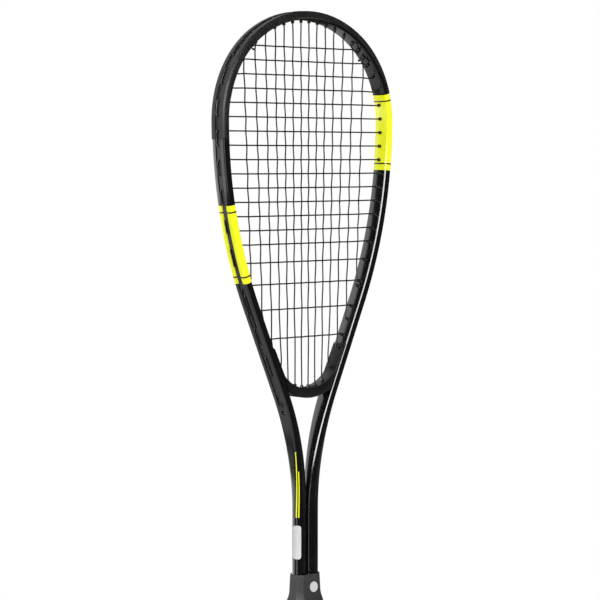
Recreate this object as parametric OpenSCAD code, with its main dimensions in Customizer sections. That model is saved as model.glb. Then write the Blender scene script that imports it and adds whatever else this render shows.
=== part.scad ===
// Squash racket: a hairpin tube frame with a throat bridge, woven strings, a head guard,
// grommet strips, a two-part handle pallet, a wrapped grip, a butt cap and a rubber collar.
// Millimetres. The butt face is on z = 0, the head points up and the front face looks along -Y.

/* [Head] */
// Overall length, from the butt face to the top of the head guard
racket_l = 686; // [660:1:700]
// Half of the head's width, to the middle of the tube
head_half_w = 98.1; // [92:0.1:104]
// Height of the head's top above its widest place, to the middle of the tube
head_rise = 92.3; // [91.5:0.1:96]
// Bend radius of the tube at the shoulders
shoulder_r = 90; // [84:1:91]
// Bend radius of the tube along the sides
side_r = 393; // [340:1:440]

/* [Throat and shaft] */
// Angle between each leg's straight run and the racket's axis
flare_a = 24; // [20:0.5:27]
// Bend radius where the legs turn into the shaft
neck_r = 250; // [200:1:260]
// Distance of each leg's middle from the racket's axis in the shaft
leg_x = 7.1; // [7:0.1:9]
// Height of the legs' feet inside the handle
leg_foot_z = 12; // [8:1:30]

/* [Tube section] */
// Thickness of the tube around the head, in the plane of the strings
head_t = 7; // [6.5:0.1:8]
// Depth of the tube around the head, square to the strings
head_d = 17.8; // [16:0.1:19]
// Corner radius of the tube around the head
head_corner_r = 2.8; // [2:0.1:3]
// Width of each leg in the shaft
shaft_t = 13.2; // [12:0.1:13.8]
// Depth of each leg in the shaft
shaft_d = 11.6; // [11:0.1:13]
// Wall of the tube
tube_wall = 1.2; // [0.8:0.1:1.3]
// Depth of the string channel around the outside
channel_depth = 1.4; // [1.2:0.1:1.5]
// Half width of the string channel at its floor
channel_half_w = 2.9; // [2.6:0.1:3.2]

/* [Strings] */
// Diameter of the string
string_d = 1.25; // [1.1:0.05:1.35]
// Number of main strings on each side of the axis
mains_per_side = 7; // [7]
// Number of cross strings
crosses = 19; // [19]
// Height of the highest cross string
cross_top_z = 654.35; // [653:0.05:657]
// Distance between cross strings over most of the head
cross_step = 12.265; // [12:0.005:12.5]

/* [Bridge] */
// Height of the lowest point of the bridge's upper face
bridge_top_z = 354.5; // [352:0.5:357]
// Radius of the bridge's upper face
bridge_r = 41.9; // [41.5:0.1:42.5]
// Thickness of the bridge at the axis
bridge_t = 8.5; // [8:0.1:10]
// Depth of the bridge, square to the strings
bridge_d = 15.6; // [14:0.1:16]

/* [Guard and grommets] */
// Thickness of the grommet strips
strip_t = 0.8; // [0.6:0.1:0.9]
// Thickness of the head guard
guard_t = 0.5; // [0.4:0.05:0.8]
// Height at which the head guard ends on the left; on the right it ends at the yellow band
guard_end_z = 573.6; // [565:0.1:580]
// How far a grommet barrel stands inside the frame
barrel_tip = 2.5; // [1.5:0.1:3]

/* [Handle] */
// Height of the collar's rim
collar_top_z = 189; // [180:1:195]
// Height of the collar's lower edge
collar_foot_z = 142; // [140:1:150]
// Half width of the pallet, across the strings' plane
pallet_half_w = 14.7; // [14.5:0.1:16]
// Half depth of the pallet
pallet_half_d = 11.4; // [11:0.1:13]
// Thickness of the grip wrap
wrap_t = 1.7; // [1.2:0.1:2.2]

/* [Hidden] */
LEFT = -1;
RIGHT = 1;
fit = 0.05;
decal_t = 0.2;
label_t = 0.35;
$fn = 48;

// ---- Route of the tube's middle line, one half, measured from the top of the head ----
widest_z = racket_l - guard_t - head_t / 2 - head_rise;
crown_r = (pow(head_half_w - shoulder_r, 2) + pow(head_rise, 2) - pow(shoulder_r, 2))
    / (2 * (head_rise - shoulder_r));
crown_z = widest_z + head_rise - crown_r;
// Direction of the shared normal where the crown's bend meets the shoulder's bend
crown_end_a = atan2(widest_z - crown_z, head_half_w - shoulder_r);
side_end_x = head_half_w - side_r * (1 - cos(flare_a));
side_end_z = widest_z - side_r * sin(flare_a);
neck_top_x = leg_x + neck_r * (1 - cos(flare_a));
straight_l = (side_end_x - neck_top_x) / sin(flare_a);
neck_z = side_end_z - straight_l * cos(flare_a) - neck_r * sin(flare_a);

function arc_length(r, a) = r * a * PI / 180;
function arc_angle(r, s) = s / r * 180 / PI;

s_crown = arc_length(crown_r, 90 - crown_end_a);
s_shoulder = s_crown + arc_length(shoulder_r, crown_end_a);
s_side = s_shoulder + arc_length(side_r, flare_a);
s_straight = s_side + straight_l;
s_neck = s_straight + arc_length(neck_r, flare_a);
s_foot = s_neck + neck_z - leg_foot_z;

function on_arc(x, z, r, a) = [x + r * cos(a), z + r * sin(a), a];
function on_neck(b) = [leg_x + neck_r * (1 - cos(b)), neck_z + neck_r * sin(b), -b];

// [x, z, direction of the outward normal] on the right half, at the distance s from the top
function half_at(s) =
    s < s_crown ? on_arc(0, crown_z, crown_r, 90 - arc_angle(crown_r, s))
    : s < s_shoulder ? on_arc(head_half_w - shoulder_r, widest_z, shoulder_r,
        crown_end_a - arc_angle(shoulder_r, s - s_crown))
    : s < s_side ? on_arc(head_half_w - side_r, widest_z, side_r, -arc_angle(side_r, s - s_shoulder))
    : s < s_straight ? [side_end_x - (s - s_side) * sin(flare_a),
        side_end_z - (s - s_side) * cos(flare_a), -flare_a]
    : s < s_neck ? on_neck(flare_a - arc_angle(neck_r, s - s_straight))
    : [leg_x, neck_z - (s - s_neck), 0];

// Side of the racket that a signed distance along the route is on: s < 0 is the left half
function side_of(s) = s < 0 ? LEFT : RIGHT;

// Point beside the route: out is along the outward normal, y is along the depth
function beside(s, out, y = 0) =
    let (p = half_at(abs(s)))
    [side_of(s) * (p.x + out * cos(p.z)), y, p.y + out * sin(p.z)];

// ---- Section of the tube: flat around the head, nearly round in the shaft ----
section_top_z = 350;
section_foot_z = 235;
shaft_corner_r = 5.6;
channel_foot_z = 337;
channel_fade = 12;

function smooth(u) = let (v = min(max(u, 0), 1)) v * v * (3 - 2 * v);
function shaft_share(z) = smooth((section_top_z - z) / (section_top_z - section_foot_z));
function mix(a, b, u) = a + (b - a) * u;
function tube_t(z) = mix(head_t, shaft_t, shaft_share(z));
function tube_d(z) = mix(head_d, shaft_d, shaft_share(z));
function tube_r(z) = mix(head_corner_r, shaft_corner_r, shaft_share(z));
function channel(z) = channel_depth * smooth((z - channel_foot_z) / channel_fade);

// Rounded rectangle with a channel in its +x side; grow moves every face outwards
function section(t, d, r, depth, grow, corner_steps) =
    let (hx = t / 2 - r, hy = d / 2 - r, face = t / 2 + grow,
        w = min(channel_half_w - grow, 0.7 * hy), slope = min(0.5, 0.2 * hy))
    concat(
        [[face - depth, w], [face, w + slope]],
        [for (q = [0:3])
            let (sx = q == 0 || q == 3 ? 1 : -1, sy = q < 2 ? 1 : -1)
            for (k = [0:corner_steps])
                let (a = 90 * (q + k / corner_steps))
                [sx * hx + (r + grow) * cos(a), sy * hy + (r + grow) * sin(a)]],
        [[face, -w - slope], [face - depth, -w]]);

function tube_ring(s, grow, corner_steps) =
    let (z = half_at(abs(s)).y)
    [for (p = section(tube_t(z), tube_d(z), tube_r(z), channel(z), grow, corner_steps))
        beside(s, p.x, p.y)];

// Distances along the route at which the tube's rings sit, from the top to one foot
half_stops = concat(
    [for (k = [0:4]) s_crown * k / 5],
    [for (k = [0:6]) mix(s_crown, s_shoulder, k / 7)],
    [for (k = [0:6]) mix(s_shoulder, s_side, k / 7)],
    [s_side, mix(s_side, s_straight, 0.5)],
    [for (k = [0:5]) mix(s_straight, s_neck, k / 6)],
    [for (k = [0:3]) mix(s_neck, s_neck + neck_z - section_foot_z, k / 3)],
    [s_foot]);

function stops_between(a, b) =
    concat([a], [for (s = half_stops) if (s > a + 1 && s < b - 1) s], [b]);
function reversed(list) = [for (k = [len(list) - 1:-1:0]) list[k]];
function both_halves(stops) =
    concat([for (s = reversed(stops)) -s], [for (s = stops) if (s > 0) s]);

// Closed skin through rings of equal length, capped at both ends
module skin(rings) {
    n = len(rings);
    m = len(rings[0]);
    polyhedron(
        points = [for (ring = rings) each ring],
        faces = concat(
            [[for (k = [m - 1:-1:0]) k]],
            [for (i = [0:n - 2]) for (k = [0:m - 1])
                [i * m + k, i * m + (k + 1) % m, (i + 1) * m + (k + 1) % m, (i + 1) * m + k]],
            [[for (k = [0:m - 1]) (n - 1) * m + k]]),
        convexity = 10);
}

module tube_skin(stops, grow, corner_steps) {
    skin([for (s = stops) tube_ring(s, grow, corner_steps)]);
}

// Keeps its children's size: the drilled skins inside are worked out as one mesh
module one_mesh() {
    resize([0, 0, 0]) children();
}

// Stands children on the route, with their z axis along the outward normal
module on_route(s) {
    p = half_at(abs(s));
    translate([side_of(s) * p.x, 0, p.y])
        rotate([0, side_of(s) * (90 - p.z), 0])
            children();
}

// ---- Where the strings run ----
fan_z = 612;
fan_rate = 0.0006;
weave = string_d / 2 + 0.04;
main_count = 2 * mains_per_side;
lower_crosses = 4;
shared_y = 0.68;
loop_y = 1.35;
loop_out = head_t / 2 - channel_depth + strip_t + string_d / 2 + fit;

function main_offset(n) = 4.5 + 9.55 * n + 0.04 * pow(n, 3);
function main_x(n, z) = main_offset(n) * (1 - fan_rate * (fan_z - z));
function cross_z(j) =
    let (low = max(0, j - (crosses - 1 - lower_crosses)))
    cross_top_z - cross_step * j - low * (2 + 1.6 * low);

// Place between lo and hi at which f changes sign
function root(f, lo, hi, n = 24) =
    let (mid = (lo + hi) / 2)
    n == 0 ? mid : f(lo) * f(mid) <= 0 ? root(f, lo, mid, n - 1) : root(f, mid, hi, n - 1);

// The bridge takes the first three mains of each side; the fourth one passes its arm into the leg
bridge_mains = 3;
bridge_z = bridge_top_z + bridge_r;
bridge_foot_r = bridge_r + bridge_t;
bridge_groove = 2;
bridge_loop_r = bridge_foot_r - bridge_groove + strip_t + string_d / 2 + fit;
arm_tip = barrel_tip + 2.4;

function tip_of_main(n) = n == bridge_mains ? arm_tip : barrel_tip;
function main_miss(n, tip) =
    function (s) let (p = beside(s, -head_t / 2 - tip)) p.x - main_x(n, p.z);
function cross_miss(j) = function (s) beside(s, -head_t / 2 - barrel_tip).z - cross_z(j);

// At the shoulders the last two mains and the first two crosses reach the tube at one place, so
// their holes are drilled this far either way
shoulder_shift = 3.1;
top_s = [for (n = [0:mains_per_side - 1])
    root(main_miss(n, barrel_tip), 0, s_shoulder) - (n > mains_per_side - 3 ? shoulder_shift : 0)];
foot_s = [for (n = [0:mains_per_side - 1])
    n < bridge_mains ? 0 : root(main_miss(n, tip_of_main(n)), s_shoulder, s_straight)];
cross_s = [for (j = [0:crosses - 1]) root(cross_miss(j), 0, s_straight) + (j < 2 ? shoulder_shift : 0)];
last_main = mains_per_side - 1;
last_cross = crosses - 1;

// Holes that take two strings, because a string is tied off in them
top_tie_s = [cross_s[0], -cross_s[0], top_s[last_main]];
foot_tie_s = -foot_s[last_main - 1];

function is_shared(s) = min([for (t = concat(top_tie_s, [foot_tie_s])) abs(t - s)]) < 0.1;
function bore_r(s) = is_shared(s) ? 1.45 : 1;
function barrel_r(s) = bore_r(s) + 0.5;
function hole_r(s) = barrel_r(s) + fit;
function hole_shift(s) = is_shared(s) ? shared_y : 0;

// The yellow bands, by the heights of their lower ends
band_l = 69.4;
band_left_z = 450.7;
band_right_z = 546.5;

function band_foot(side) =
    let (foot = side == LEFT ? band_left_z : band_right_z)
    root(function (s) half_at(s).y - foot, s_crown, s_straight);

guard_left_s = root(function (s) half_at(s).y - guard_end_z, 0, s_side);
guard_right_s = band_foot(RIGHT) - band_l - 0.3;
function guard_s(side) = side == LEFT ? guard_left_s : guard_right_s;
function in_guard(s) = abs(s) < guard_s(side_of(s));
strip_foot_s = root(function (s) half_at(s).y - channel_foot_z - channel_fade, s_side, s_neck);

// Distances along the right half of every hole: [s, how far its barrel stands inside]
half_holes = concat(
    [for (s = top_s) [s, barrel_tip]],
    [for (n = [bridge_mains:last_main]) [foot_s[n], tip_of_main(n)]],
    [for (s = cross_s) [s, barrel_tip]]);
holes = [for (side = [LEFT, RIGHT]) for (h = half_holes) [side * h.x, h.y]];

// ---- Routes of the two strings ----
corner = 0.7;

// Through the wall at s, from the channel to the inside; way is the sense in which the loop leaves
function mouth(s, tip, way, y_loop, y_hole) =
    [beside(s + way * corner, loop_out, y_loop), beside(s, loop_out - corner, mix(y_loop, y_hole, 0.8)),
        beside(s, -head_t / 2 - tip, y_hole)];

function channel_run(a, b, y) =
    let (steps = max(2, ceil(abs(b - a) / 8)))
    [for (k = [1:steps - 1]) beside(mix(a, b, k / steps), loop_out, y)];

function foot_z(n) = n < bridge_mains ? bridge_upper_z(n) : beside(foot_s[n], -head_t / 2 - tip_of_main(n)).z;
function top_z(n) = beside(top_s[n], -head_t / 2 - barrel_tip).z;
function meets(n, j) = cross_z(j) > foot_z(n) + 2 && cross_z(j) < top_z(n) - 2;
function over(i, j) = (i + j) % 2 == 0 ? 1 : -1;
function main_side(i) = i < mains_per_side ? LEFT : RIGHT;
function main_rank(i) = i < mains_per_side ? last_main - i : i - mains_per_side;
function main_index(n, side) = side < 0 ? last_main - n : mains_per_side + n;

// Where main n stands in the bridge
function bridge_main_x(n) = main_x(n, bridge_top_z);
function bridge_arc_z(r, x) = bridge_z - sqrt(r * r - x * x);
function bridge_upper_z(n) = bridge_arc_z(bridge_r, bridge_main_x(n)) + barrel_tip;
function under_bridge(x, y) = [x, y, bridge_arc_z(bridge_loop_r, x)];

function foot_mouth(n, side) =
    n < bridge_mains
    ? let (x = side * bridge_main_x(n), turn = side * (n == 1 ? 1 : -1))
        [under_bridge(x + turn * corner, -loop_y),
            [x, -loop_y * 0.2, bridge_arc_z(bridge_loop_r, x) + corner], [x, 0, bridge_upper_z(n)]]
    : mouth(side * foot_s[n], tip_of_main(n), side * (n % 2 == 0 ? 1 : -1), -loop_y,
        -hole_shift(side * foot_s[n]));

function top_mouth(n, side) =
    mouth(side * top_s[n], barrel_tip, side * (n == last_main || n % 2 == 1 ? -1 : 1), -loop_y,
        -hole_shift(side * top_s[n]));

// One main from its foot to its top
function main_span(n, side) = concat(
    foot_mouth(n, side),
    [for (j = [last_cross:-1:0]) if (meets(n, j))
        [side * main_x(n, cross_z(j)), weave * over(main_index(n, side), j), cross_z(j)]],
    reversed(top_mouth(n, side)));

// The link from main n to the next one, over the head or under the throat
function main_link(n, side) =
    n % 2 == 0 ? channel_run(side * top_s[n], side * top_s[n + 1], -loop_y)
    : n < bridge_mains - 1
    ? [for (u = [0.25, 0.5, 0.75])
        under_bridge(side * mix(bridge_main_x(n), bridge_main_x(n + 1), u), -loop_y)]
    : channel_run(side * foot_s[n], side * foot_s[n + 1], -loop_y);

// Loose end of a string inside the hole at s, up to its knot
function knot_place(s, tip, side_y) = beside(s, -head_t / 2 - tip - 2.2, side_y * 2.1);
function tail(s, tip, side_y) =
    [beside(s, -head_t / 2 - tip - 0.9, side_y * 1.2), knot_place(s, tip, side_y)];

function main_half(side) = concat(
    [for (n = [0:last_main]) each concat(
        n % 2 == 0 ? main_span(n, side) : reversed(main_span(n, side)),
        n < last_main ? main_link(n, side) : [])],
    channel_run(side * top_s[last_main], side * cross_s[0], -loop_y),
    mouth(side * cross_s[0], barrel_tip, side, -loop_y, -shared_y),
    tail(side * cross_s[0], barrel_tip, -1));

main_route = concat(reversed(main_half(LEFT)), main_half(RIGHT));

// Crosses run right to left when j is even, and left to right when it is odd
function cross_end(j, side) =
    let (s = side * cross_s[j], leaves = (side == RIGHT) == (j % 2 == 1),
        way = j == 0 && side == RIGHT ? 1 : j == last_cross && side == LEFT ? -1 : leaves ? 1 : -1)
    mouth(s, barrel_tip, side * way, loop_y, hole_shift(s));

function cross_span(j) = concat(
    cross_end(j, LEFT),
    [for (i = [0:main_count - 1]) if (meets(main_rank(i), j))
        [main_side(i) * main_x(main_rank(i), cross_z(j)), -weave * over(i, j), cross_z(j)]],
    reversed(cross_end(j, RIGHT)));

function cross_link(j) =
    let (side = j % 2 == 0 ? LEFT : RIGHT)
    channel_run(side * cross_s[j], side * cross_s[j + 1], loop_y);

cross_route = concat(
    reversed(concat(channel_run(cross_s[0], top_s[last_main], loop_y),
        mouth(top_s[last_main], barrel_tip, -1, loop_y, shared_y),
        tail(top_s[last_main], barrel_tip, 1))),
    [for (j = [0:last_cross]) each concat(
        j % 2 == 0 ? reversed(cross_span(j)) : cross_span(j),
        j < last_cross ? cross_link(j) : [])],
    channel_run(-cross_s[last_cross], foot_tie_s, loop_y),
    mouth(foot_tie_s, barrel_tip, LEFT, loop_y, shared_y),
    tail(foot_tie_s, barrel_tip, 1));

string_sides = 5;
function unit(v) = v / norm(v);
function string_ring(before, p, after) =
    let (t = unit(unit(after - p) + unit(p - before)), across = unit(cross([0, 1, 0], t)),
        up = cross(t, across))
    [for (k = [0:string_sides - 1])
        let (a = -360 * k / string_sides)
        p + string_d / 2 * (across * cos(a) + up * sin(a))];

module string_along(route) {
    last = len(route) - 1;
    skin([for (k = [0:last])
        string_ring(k == 0 ? 2 * route[0] - route[1] : route[k - 1], route[k],
            k == last ? 2 * route[last] - route[last - 1] : route[k + 1])]);
}

// ---- Frame ----
channel_end_r = 2.2;
channel_end_drop = 1.8;
channel_end_s =
    root(function (s) half_at(s).y - channel_foot_z + channel_end_drop, s_side, s_neck);

barrel_sides = 8;
all_stops = both_halves(half_stops);
hollow_stops = both_halves(concat([for (s = half_stops) if (s < s_foot) s], [s_foot + 1]));

module hole_at(s, gap = 0) {
    on_route(s)
        cylinder(r = hole_r(s) + gap, h = 2 * head_t, center = true, $fn = barrel_sides);
}

module frame_tube() {
    color("#0b0b0c")
        one_mesh()
            difference() {
                tube_skin(all_stops, 0, 3);
                tube_skin(hollow_stops, -tube_wall, 1);
                for (h = holes) hole_at(h.x);
                for (side = [LEFT, RIGHT])
                    on_route(side * channel_end_s)
                        cylinder(r = channel_end_r, h = head_t, $fn = barrel_sides);
            }
}

// ---- Throat bridge ----
arm_top_z = 392;
arm_root_z = 362;
arm_top_t = 0.8;
arm_root_t = 2.2;
arm_only_a = 66;
leg_normal = [cos(flare_a), -sin(flare_a)];

// From the bridge's centre to the leg's inner face, at the angle a from straight down
function leg_reach(a) =
    let (p = beside(s_straight, -head_t / 2 - fit))
    leg_normal * [p.x, p.z - bridge_z] / (leg_normal * [sin(abs(a)), -cos(a)]);
function soft_max(a, b, k) =
    let (h = max(k - abs(a - b), 0) / k)
    max(a, b) + h * h * k / 4;
function bridge_outer(a) = min(bridge_foot_r, leg_reach(a));
function arm_t(a) =
    let (z = bridge_z - leg_reach(a) * cos(a), u = (z - arm_root_z) / (arm_top_z - arm_root_z))
    mix(arm_root_t, arm_top_t, min(max(u, 0), 1));
function bridge_inner(a) =
    bridge_outer(a) - soft_max(abs(a) < arm_only_a ? bridge_outer(a) - bridge_r : 0, arm_t(a), 0.6);

bridge_corner_a = root(function (a) leg_reach(a) - bridge_foot_r, 17, 50);
arm_top_a = root(function (a) bridge_z - leg_reach(a) * cos(a) - arm_top_z, 52, 89);
bridge_half_a = concat([for (k = [0:10]) mix(0, bridge_corner_a, k / 11)],
    [for (k = [0:16]) mix(bridge_corner_a, arm_top_a, k / 16)]);

// The bridge seen from the front: a bow whose thin arms run up the inner faces of both legs
module bridge_outline() {
    angles = both_halves(bridge_half_a);
    polygon([for (a = angles) bridge_outer(a) * [sin(a), -cos(a)] + [0, bridge_z],
        for (a = reversed(angles)) bridge_inner(a) * [sin(a), -cos(a)] + [0, bridge_z]]);
}

module bridge_ring(inner_r, outer_r) {
    translate([0, bridge_z])
        difference() {
            circle(r = outer_r, $fn = 120);
            circle(r = inner_r, $fn = 120);
        }
}

// Extrudes an outline seen from the front, evenly about the strings' plane
module through(depth) {
    rotate([90, 0, 0])
        linear_extrude(height = depth, center = true)
            children();
}

module throat_bridge() {
    color("#1c1c1d")
        difference() {
            through(bridge_d)
                bridge_outline();
            through(2 * channel_half_w)
                bridge_ring(bridge_foot_r - bridge_groove, bridge_foot_r + 2);
            for (side = [LEFT, RIGHT]) {
                for (n = [0:bridge_mains - 1])
                    translate([side * bridge_main_x(n), 0, bridge_top_z - 15])
                        cylinder(r = hole_r(0), h = 40);
                for (n = [bridge_mains, bridge_mains + 1])
                    on_route(side * foot_s[n])
                        cylinder(r = hole_r(side * foot_s[n]), h = 6 * head_t, center = true);
            }
        }
}

module bridge_grommets() {
    seat_r = bridge_foot_r - bridge_groove + fit;
    color("#141414")
        difference() {
            union() {
                through(2 * channel_half_w - 0.5)
                    intersection() {
                        bridge_ring(seat_r, seat_r + strip_t - fit);
                        translate([-24.3, bridge_z - bridge_foot_r])
                            square([48.6, 0.5 * bridge_foot_r]);
                    }
                for (side = [LEFT, RIGHT]) for (n = [0:bridge_mains - 1])
                    let (x = side * bridge_main_x(n), low = bridge_arc_z(seat_r + strip_t / 2, x))
                    translate([x, 0, low])
                        cylinder(r = barrel_r(0), h = bridge_upper_z(n) - low);
            }
            for (side = [LEFT, RIGHT]) for (n = [0:bridge_mains - 1])
                translate([side * bridge_main_x(n), 0, bridge_top_z - 15])
                    cylinder(r = bore_r(0), h = 40);
        }
}

// ---- Head guard and side strips ----
strip_seat = 0.22;
flange_fade = 40;

// Outer part of the tube's section, from one flange tip round the channel to the other
function guard_profile(s, grow) =
    let (z = half_at(abs(s)).y,
        flange = 0.2 + 2.2 * smooth((guard_s(side_of(s)) - abs(s)) / flange_fade),
        full = section(head_t, head_d, head_corner_r, channel(z), grow, 3),
        x = head_t / 2 - head_corner_r - flange, y = head_d / 2 + grow)
    concat([[x, -y]], [for (k = [14:19]) full[k]], [for (k = [0:5]) full[k]], [[x, y]]);

function guard_ring(s) =
    [for (p = concat(guard_profile(s, guard_t), reversed(guard_profile(s, 0.02)))) beside(s, p.x, p.y)];

module barrel(h) {
    length = head_t - channel_depth + h.y;
    on_route(h.x)
        translate([0, 0, head_t / 2 - channel_depth + strip_t / 2 - length])
            cylinder(r = barrel_r(h.x), h = length, $fn = barrel_sides);
}

module bore_at(s) {
    on_route(s)
        cylinder(r = bore_r(s), h = 5 * head_t, center = true, $fn = barrel_sides);
}

module with_barrels(own_holes) {
    one_mesh()
        difference() {
            union() {
                children();
                for (h = own_holes) barrel(h);
            }
            for (h = own_holes) bore_at(h.x);
        }
}

module head_guard() {
    color("#2b2b2c")
        with_barrels([for (h = holes) if (in_guard(h.x)) h])
            skin([for (s = concat([for (t = reversed(stops_between(0, guard_left_s))) -t],
                [for (t = stops_between(0, guard_right_s)) if (t > 0) t])) guard_ring(s)]);
}

module side_strip(side) {
    low = head_t / 2 - channel_depth + strip_seat;
    high = head_t / 2 - channel_depth + strip_t;
    w = channel_half_w - 0.3;
    stops = stops_between(guard_s(side) + 0.3, strip_foot_s);
    route = side == RIGHT ? stops : [for (s = reversed(stops)) -s];
    color("#151515")
        with_barrels([for (h = holes) if (!in_guard(h.x) && side_of(h.x) == side) h])
            skin([for (s = route)
                [beside(s, high, w), beside(s, low, w), beside(s, low, -w), beside(s, high, -w)]]);
}

module grommet_strip_left() { side_strip(LEFT); }
module grommet_strip_right() { side_strip(RIGHT); }

// ---- Strings ----
module main_string() { color("#0d0d0d") string_along(main_route); }
module cross_string() { color("#0d0d0d") string_along(cross_route); }

module tie_off_knots() {
    color("#0d0d0d") {
        for (side = [LEFT, RIGHT])
            translate(knot_place(side * cross_s[0], barrel_tip, -1)) sphere(r = 1.3);
        translate(knot_place(top_s[last_main], barrel_tip, 1)) sphere(r = 1.3);
        translate(knot_place(foot_tie_s, barrel_tip, 1)) sphere(r = 1.3);
    }
}

// ---- Handle ----
handle_top_z = 156;
cap_top_z = 16;
cap_floor = 3;
tape_foot_z = 134;
tape_w = 19;
bevel = 5;

module octagon(hw, hd, cut) {
    polygon([[hw, hd - cut], [hw - cut, hd], [cut - hw, hd], [-hw, hd - cut],
        [-hw, cut - hd], [cut - hw, -hd], [hw - cut, -hd], [hw, cut - hd]]);
}

module legs_outline(gap) {
    for (side = [LEFT, RIGHT])
        translate([side * leg_x, 0])
            polygon(section(shaft_t, shaft_d, shaft_corner_r, 0, gap, 3));
}

// Half of the pallet on the front (-1) or the back (+1) of the legs
module pallet_half(way) {
    translate([0, 0, cap_floor])
        linear_extrude(handle_top_z - cap_floor)
            difference() {
                octagon(pallet_half_w, pallet_half_d, bevel);
                legs_outline(0.1);
                translate([-30, way > 0 ? -30 + fit : -fit])
                    square([60, 30]);
            }
}

module handle_pallet_front() { color("#3a3a3c") pallet_half(-1); }
module handle_pallet_back() { color("#3a3a3c") pallet_half(1); }

module sleeve(low_z, high_z, gap, wall) {
    translate([0, 0, low_z])
        linear_extrude(high_z - low_z)
            difference() {
                octagon(pallet_half_w + gap + wall, pallet_half_d + gap + wall, bevel);
                octagon(pallet_half_w + gap, pallet_half_d + gap, bevel);
            }
}

module grip_wrap() { color("#2e2f31") sleeve(cap_top_z + fit, handle_top_z, fit, wrap_t - fit); }
module grip_finishing_tape() {
    color("#1a1a1b")
        sleeve(tape_foot_z, tape_foot_z + tape_w, wrap_t + 0.02, 0.28);
}

module layer(z, hw, hd, cut) {
    translate([0, 0, z])
        linear_extrude(0.01)
            octagon(hw, hd, cut);
}

module butt_cap() {
    color("#202022")
        difference() {
            hull() {
                layer(0, pallet_half_w + 2.6, pallet_half_d + 2.6, 6);
                layer(3, pallet_half_w + 3.6, pallet_half_d + 3.6, 6);
                layer(cap_top_z - 0.01, pallet_half_w + wrap_t + 0.3, pallet_half_d + wrap_t + 0.3, 5.5);
            }
            translate([0, 0, cap_floor - fit])
                linear_extrude(cap_top_z)
                    octagon(pallet_half_w + fit, pallet_half_d + fit, bevel);
            translate([0, 0, -1])
                cylinder(r = 10, h = 1.8);
        }
}

module butt_badge() {
    color("#8b8d90")
        translate([0, 0, 0.1])
            cylinder(r = 9.9, h = 0.69);
}

shoulder_z = 157;
waist_z = 171;
waist_half_w = 14.6;
waist_half_d = 9.9;
rim_half_w = 14.2;
rim_half_d = 9;

module grip_collar() {
    color("#5b5b5d")
        difference() {
            union() {
                hull() {
                    layer(collar_foot_z, 17.7, 14.4, 5.4);
                    layer(shoulder_z, 17.5, 14.2, 5.4);
                }
                hull() {
                    layer(shoulder_z, 17.5, 14.2, 5.4);
                    layer(waist_z, waist_half_w, waist_half_d, 5);
                }
                hull() {
                    layer(waist_z, waist_half_w, waist_half_d, 5);
                    layer(collar_top_z - 0.01, rim_half_w, rim_half_d, 5);
                }
            }
            translate([0, 0, collar_foot_z - 1])
                linear_extrude(handle_top_z + fit - collar_foot_z + 1)
                    octagon(pallet_half_w + wrap_t + 0.35, pallet_half_d + wrap_t + 0.35, bevel);
            linear_extrude(collar_top_z + 1)
                legs_outline(fit);
        }
}

badge_r = 4.7;
badge_x = 1.9;
badge_z = 177.5;
badge_lean = atan2(waist_half_d - rim_half_d, collar_top_z - waist_z);

module collar_badge() {
    color("#f2f2f2")
        translate([badge_x, -waist_half_d + (badge_z - waist_z) * tan(badge_lean), badge_z])
            rotate([90 - badge_lean, 0, 0])
                cylinder(r = badge_r, h = 0.5);
}

// ---- Decals ----
// Point on the tube's skin at the angle a round its section: 0 looks outwards, -90 to the front
function skin_point(s, a, grow) =
    let (z = half_at(abs(s)).y, r = tube_r(z), front = a < 0 ? -1 : 1)
    beside(s, tube_t(z) / 2 - r + (r + grow) * cos(a), front * (tube_d(z) / 2 - r) + (r + grow) * sin(a));

// Thin patch on the outer side of the left leg, between two heights and over the given angles
module leg_patch(low_z, high_z, angles, thickness) {
    low = root(function (s) half_at(s).y - low_z, s_side, s_foot);
    high = root(function (s) half_at(s).y - high_z, s_side, s_foot);
    skin([for (u = [0:0.125:1])
        let (s = -mix(low, high, u))
        concat([for (a = angles) skin_point(s, a, thickness)],
            [for (a = reversed(angles)) skin_point(s, a, 0.02)])]);
}

// The label lies on the shaft's even stretch, over these angles of the left leg's section
label_foot_z = 203;
label_l = 30;
label_from_a = -73;
label_to_a = 6;

module shaft_label() {
    color("#f4f4f4")
        translate([-leg_x, 0, label_foot_z])
            linear_extrude(label_l)
                mirror([1, 0])
                    intersection() {
                        difference() {
                            polygon(section(shaft_t, shaft_d, shaft_corner_r, 0, label_t, 3));
                            polygon(section(shaft_t, shaft_d, shaft_corner_r, 0, 0.02, 3));
                        }
                        polygon([[0, 0], for (a = [label_from_a, 0, label_to_a])
                            [shaft_t * cos(a), shaft_t * sin(a)]]);
                    }
}

module shaft_accent() {
    color("#e4ea3c") {
        leg_patch(240, 300, [-34, -22], label_t);
        leg_patch(240, 282, [-56, -46], label_t);
    }
}

stripe_inset = 5.3;
stripe_w = 1.3;

// Thin skin round the tube between two distances along the route
module tube_band(side, from, to, low, high) {
    outer = stops_between(from, to);
    inner = concat([from - 1], [for (k = [1:len(outer) - 2]) outer[k]], [to + 1]);
    difference() {
        tube_skin(side == RIGHT ? outer : [for (s = reversed(outer)) -s], high, 3);
        tube_skin(side == RIGHT ? inner : [for (s = reversed(inner)) -s], low, 3);
    }
}

// The bands' print stops short of the string holes by this much
print_gap = 0.7;

module yellow_band(side) {
    foot = band_foot(side);
    color("#eef21c")
        one_mesh()
            difference() {
                tube_band(side, foot - band_l, foot, 0.02, decal_t);
                for (h = holes)
                    if (side_of(h.x) == side && abs(h.x) > foot - band_l && abs(h.x) < foot)
                        hole_at(h.x, print_gap);
            }
}

module yellow_band_left() { yellow_band(LEFT); }
module yellow_band_right() { yellow_band(RIGHT); }

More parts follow.
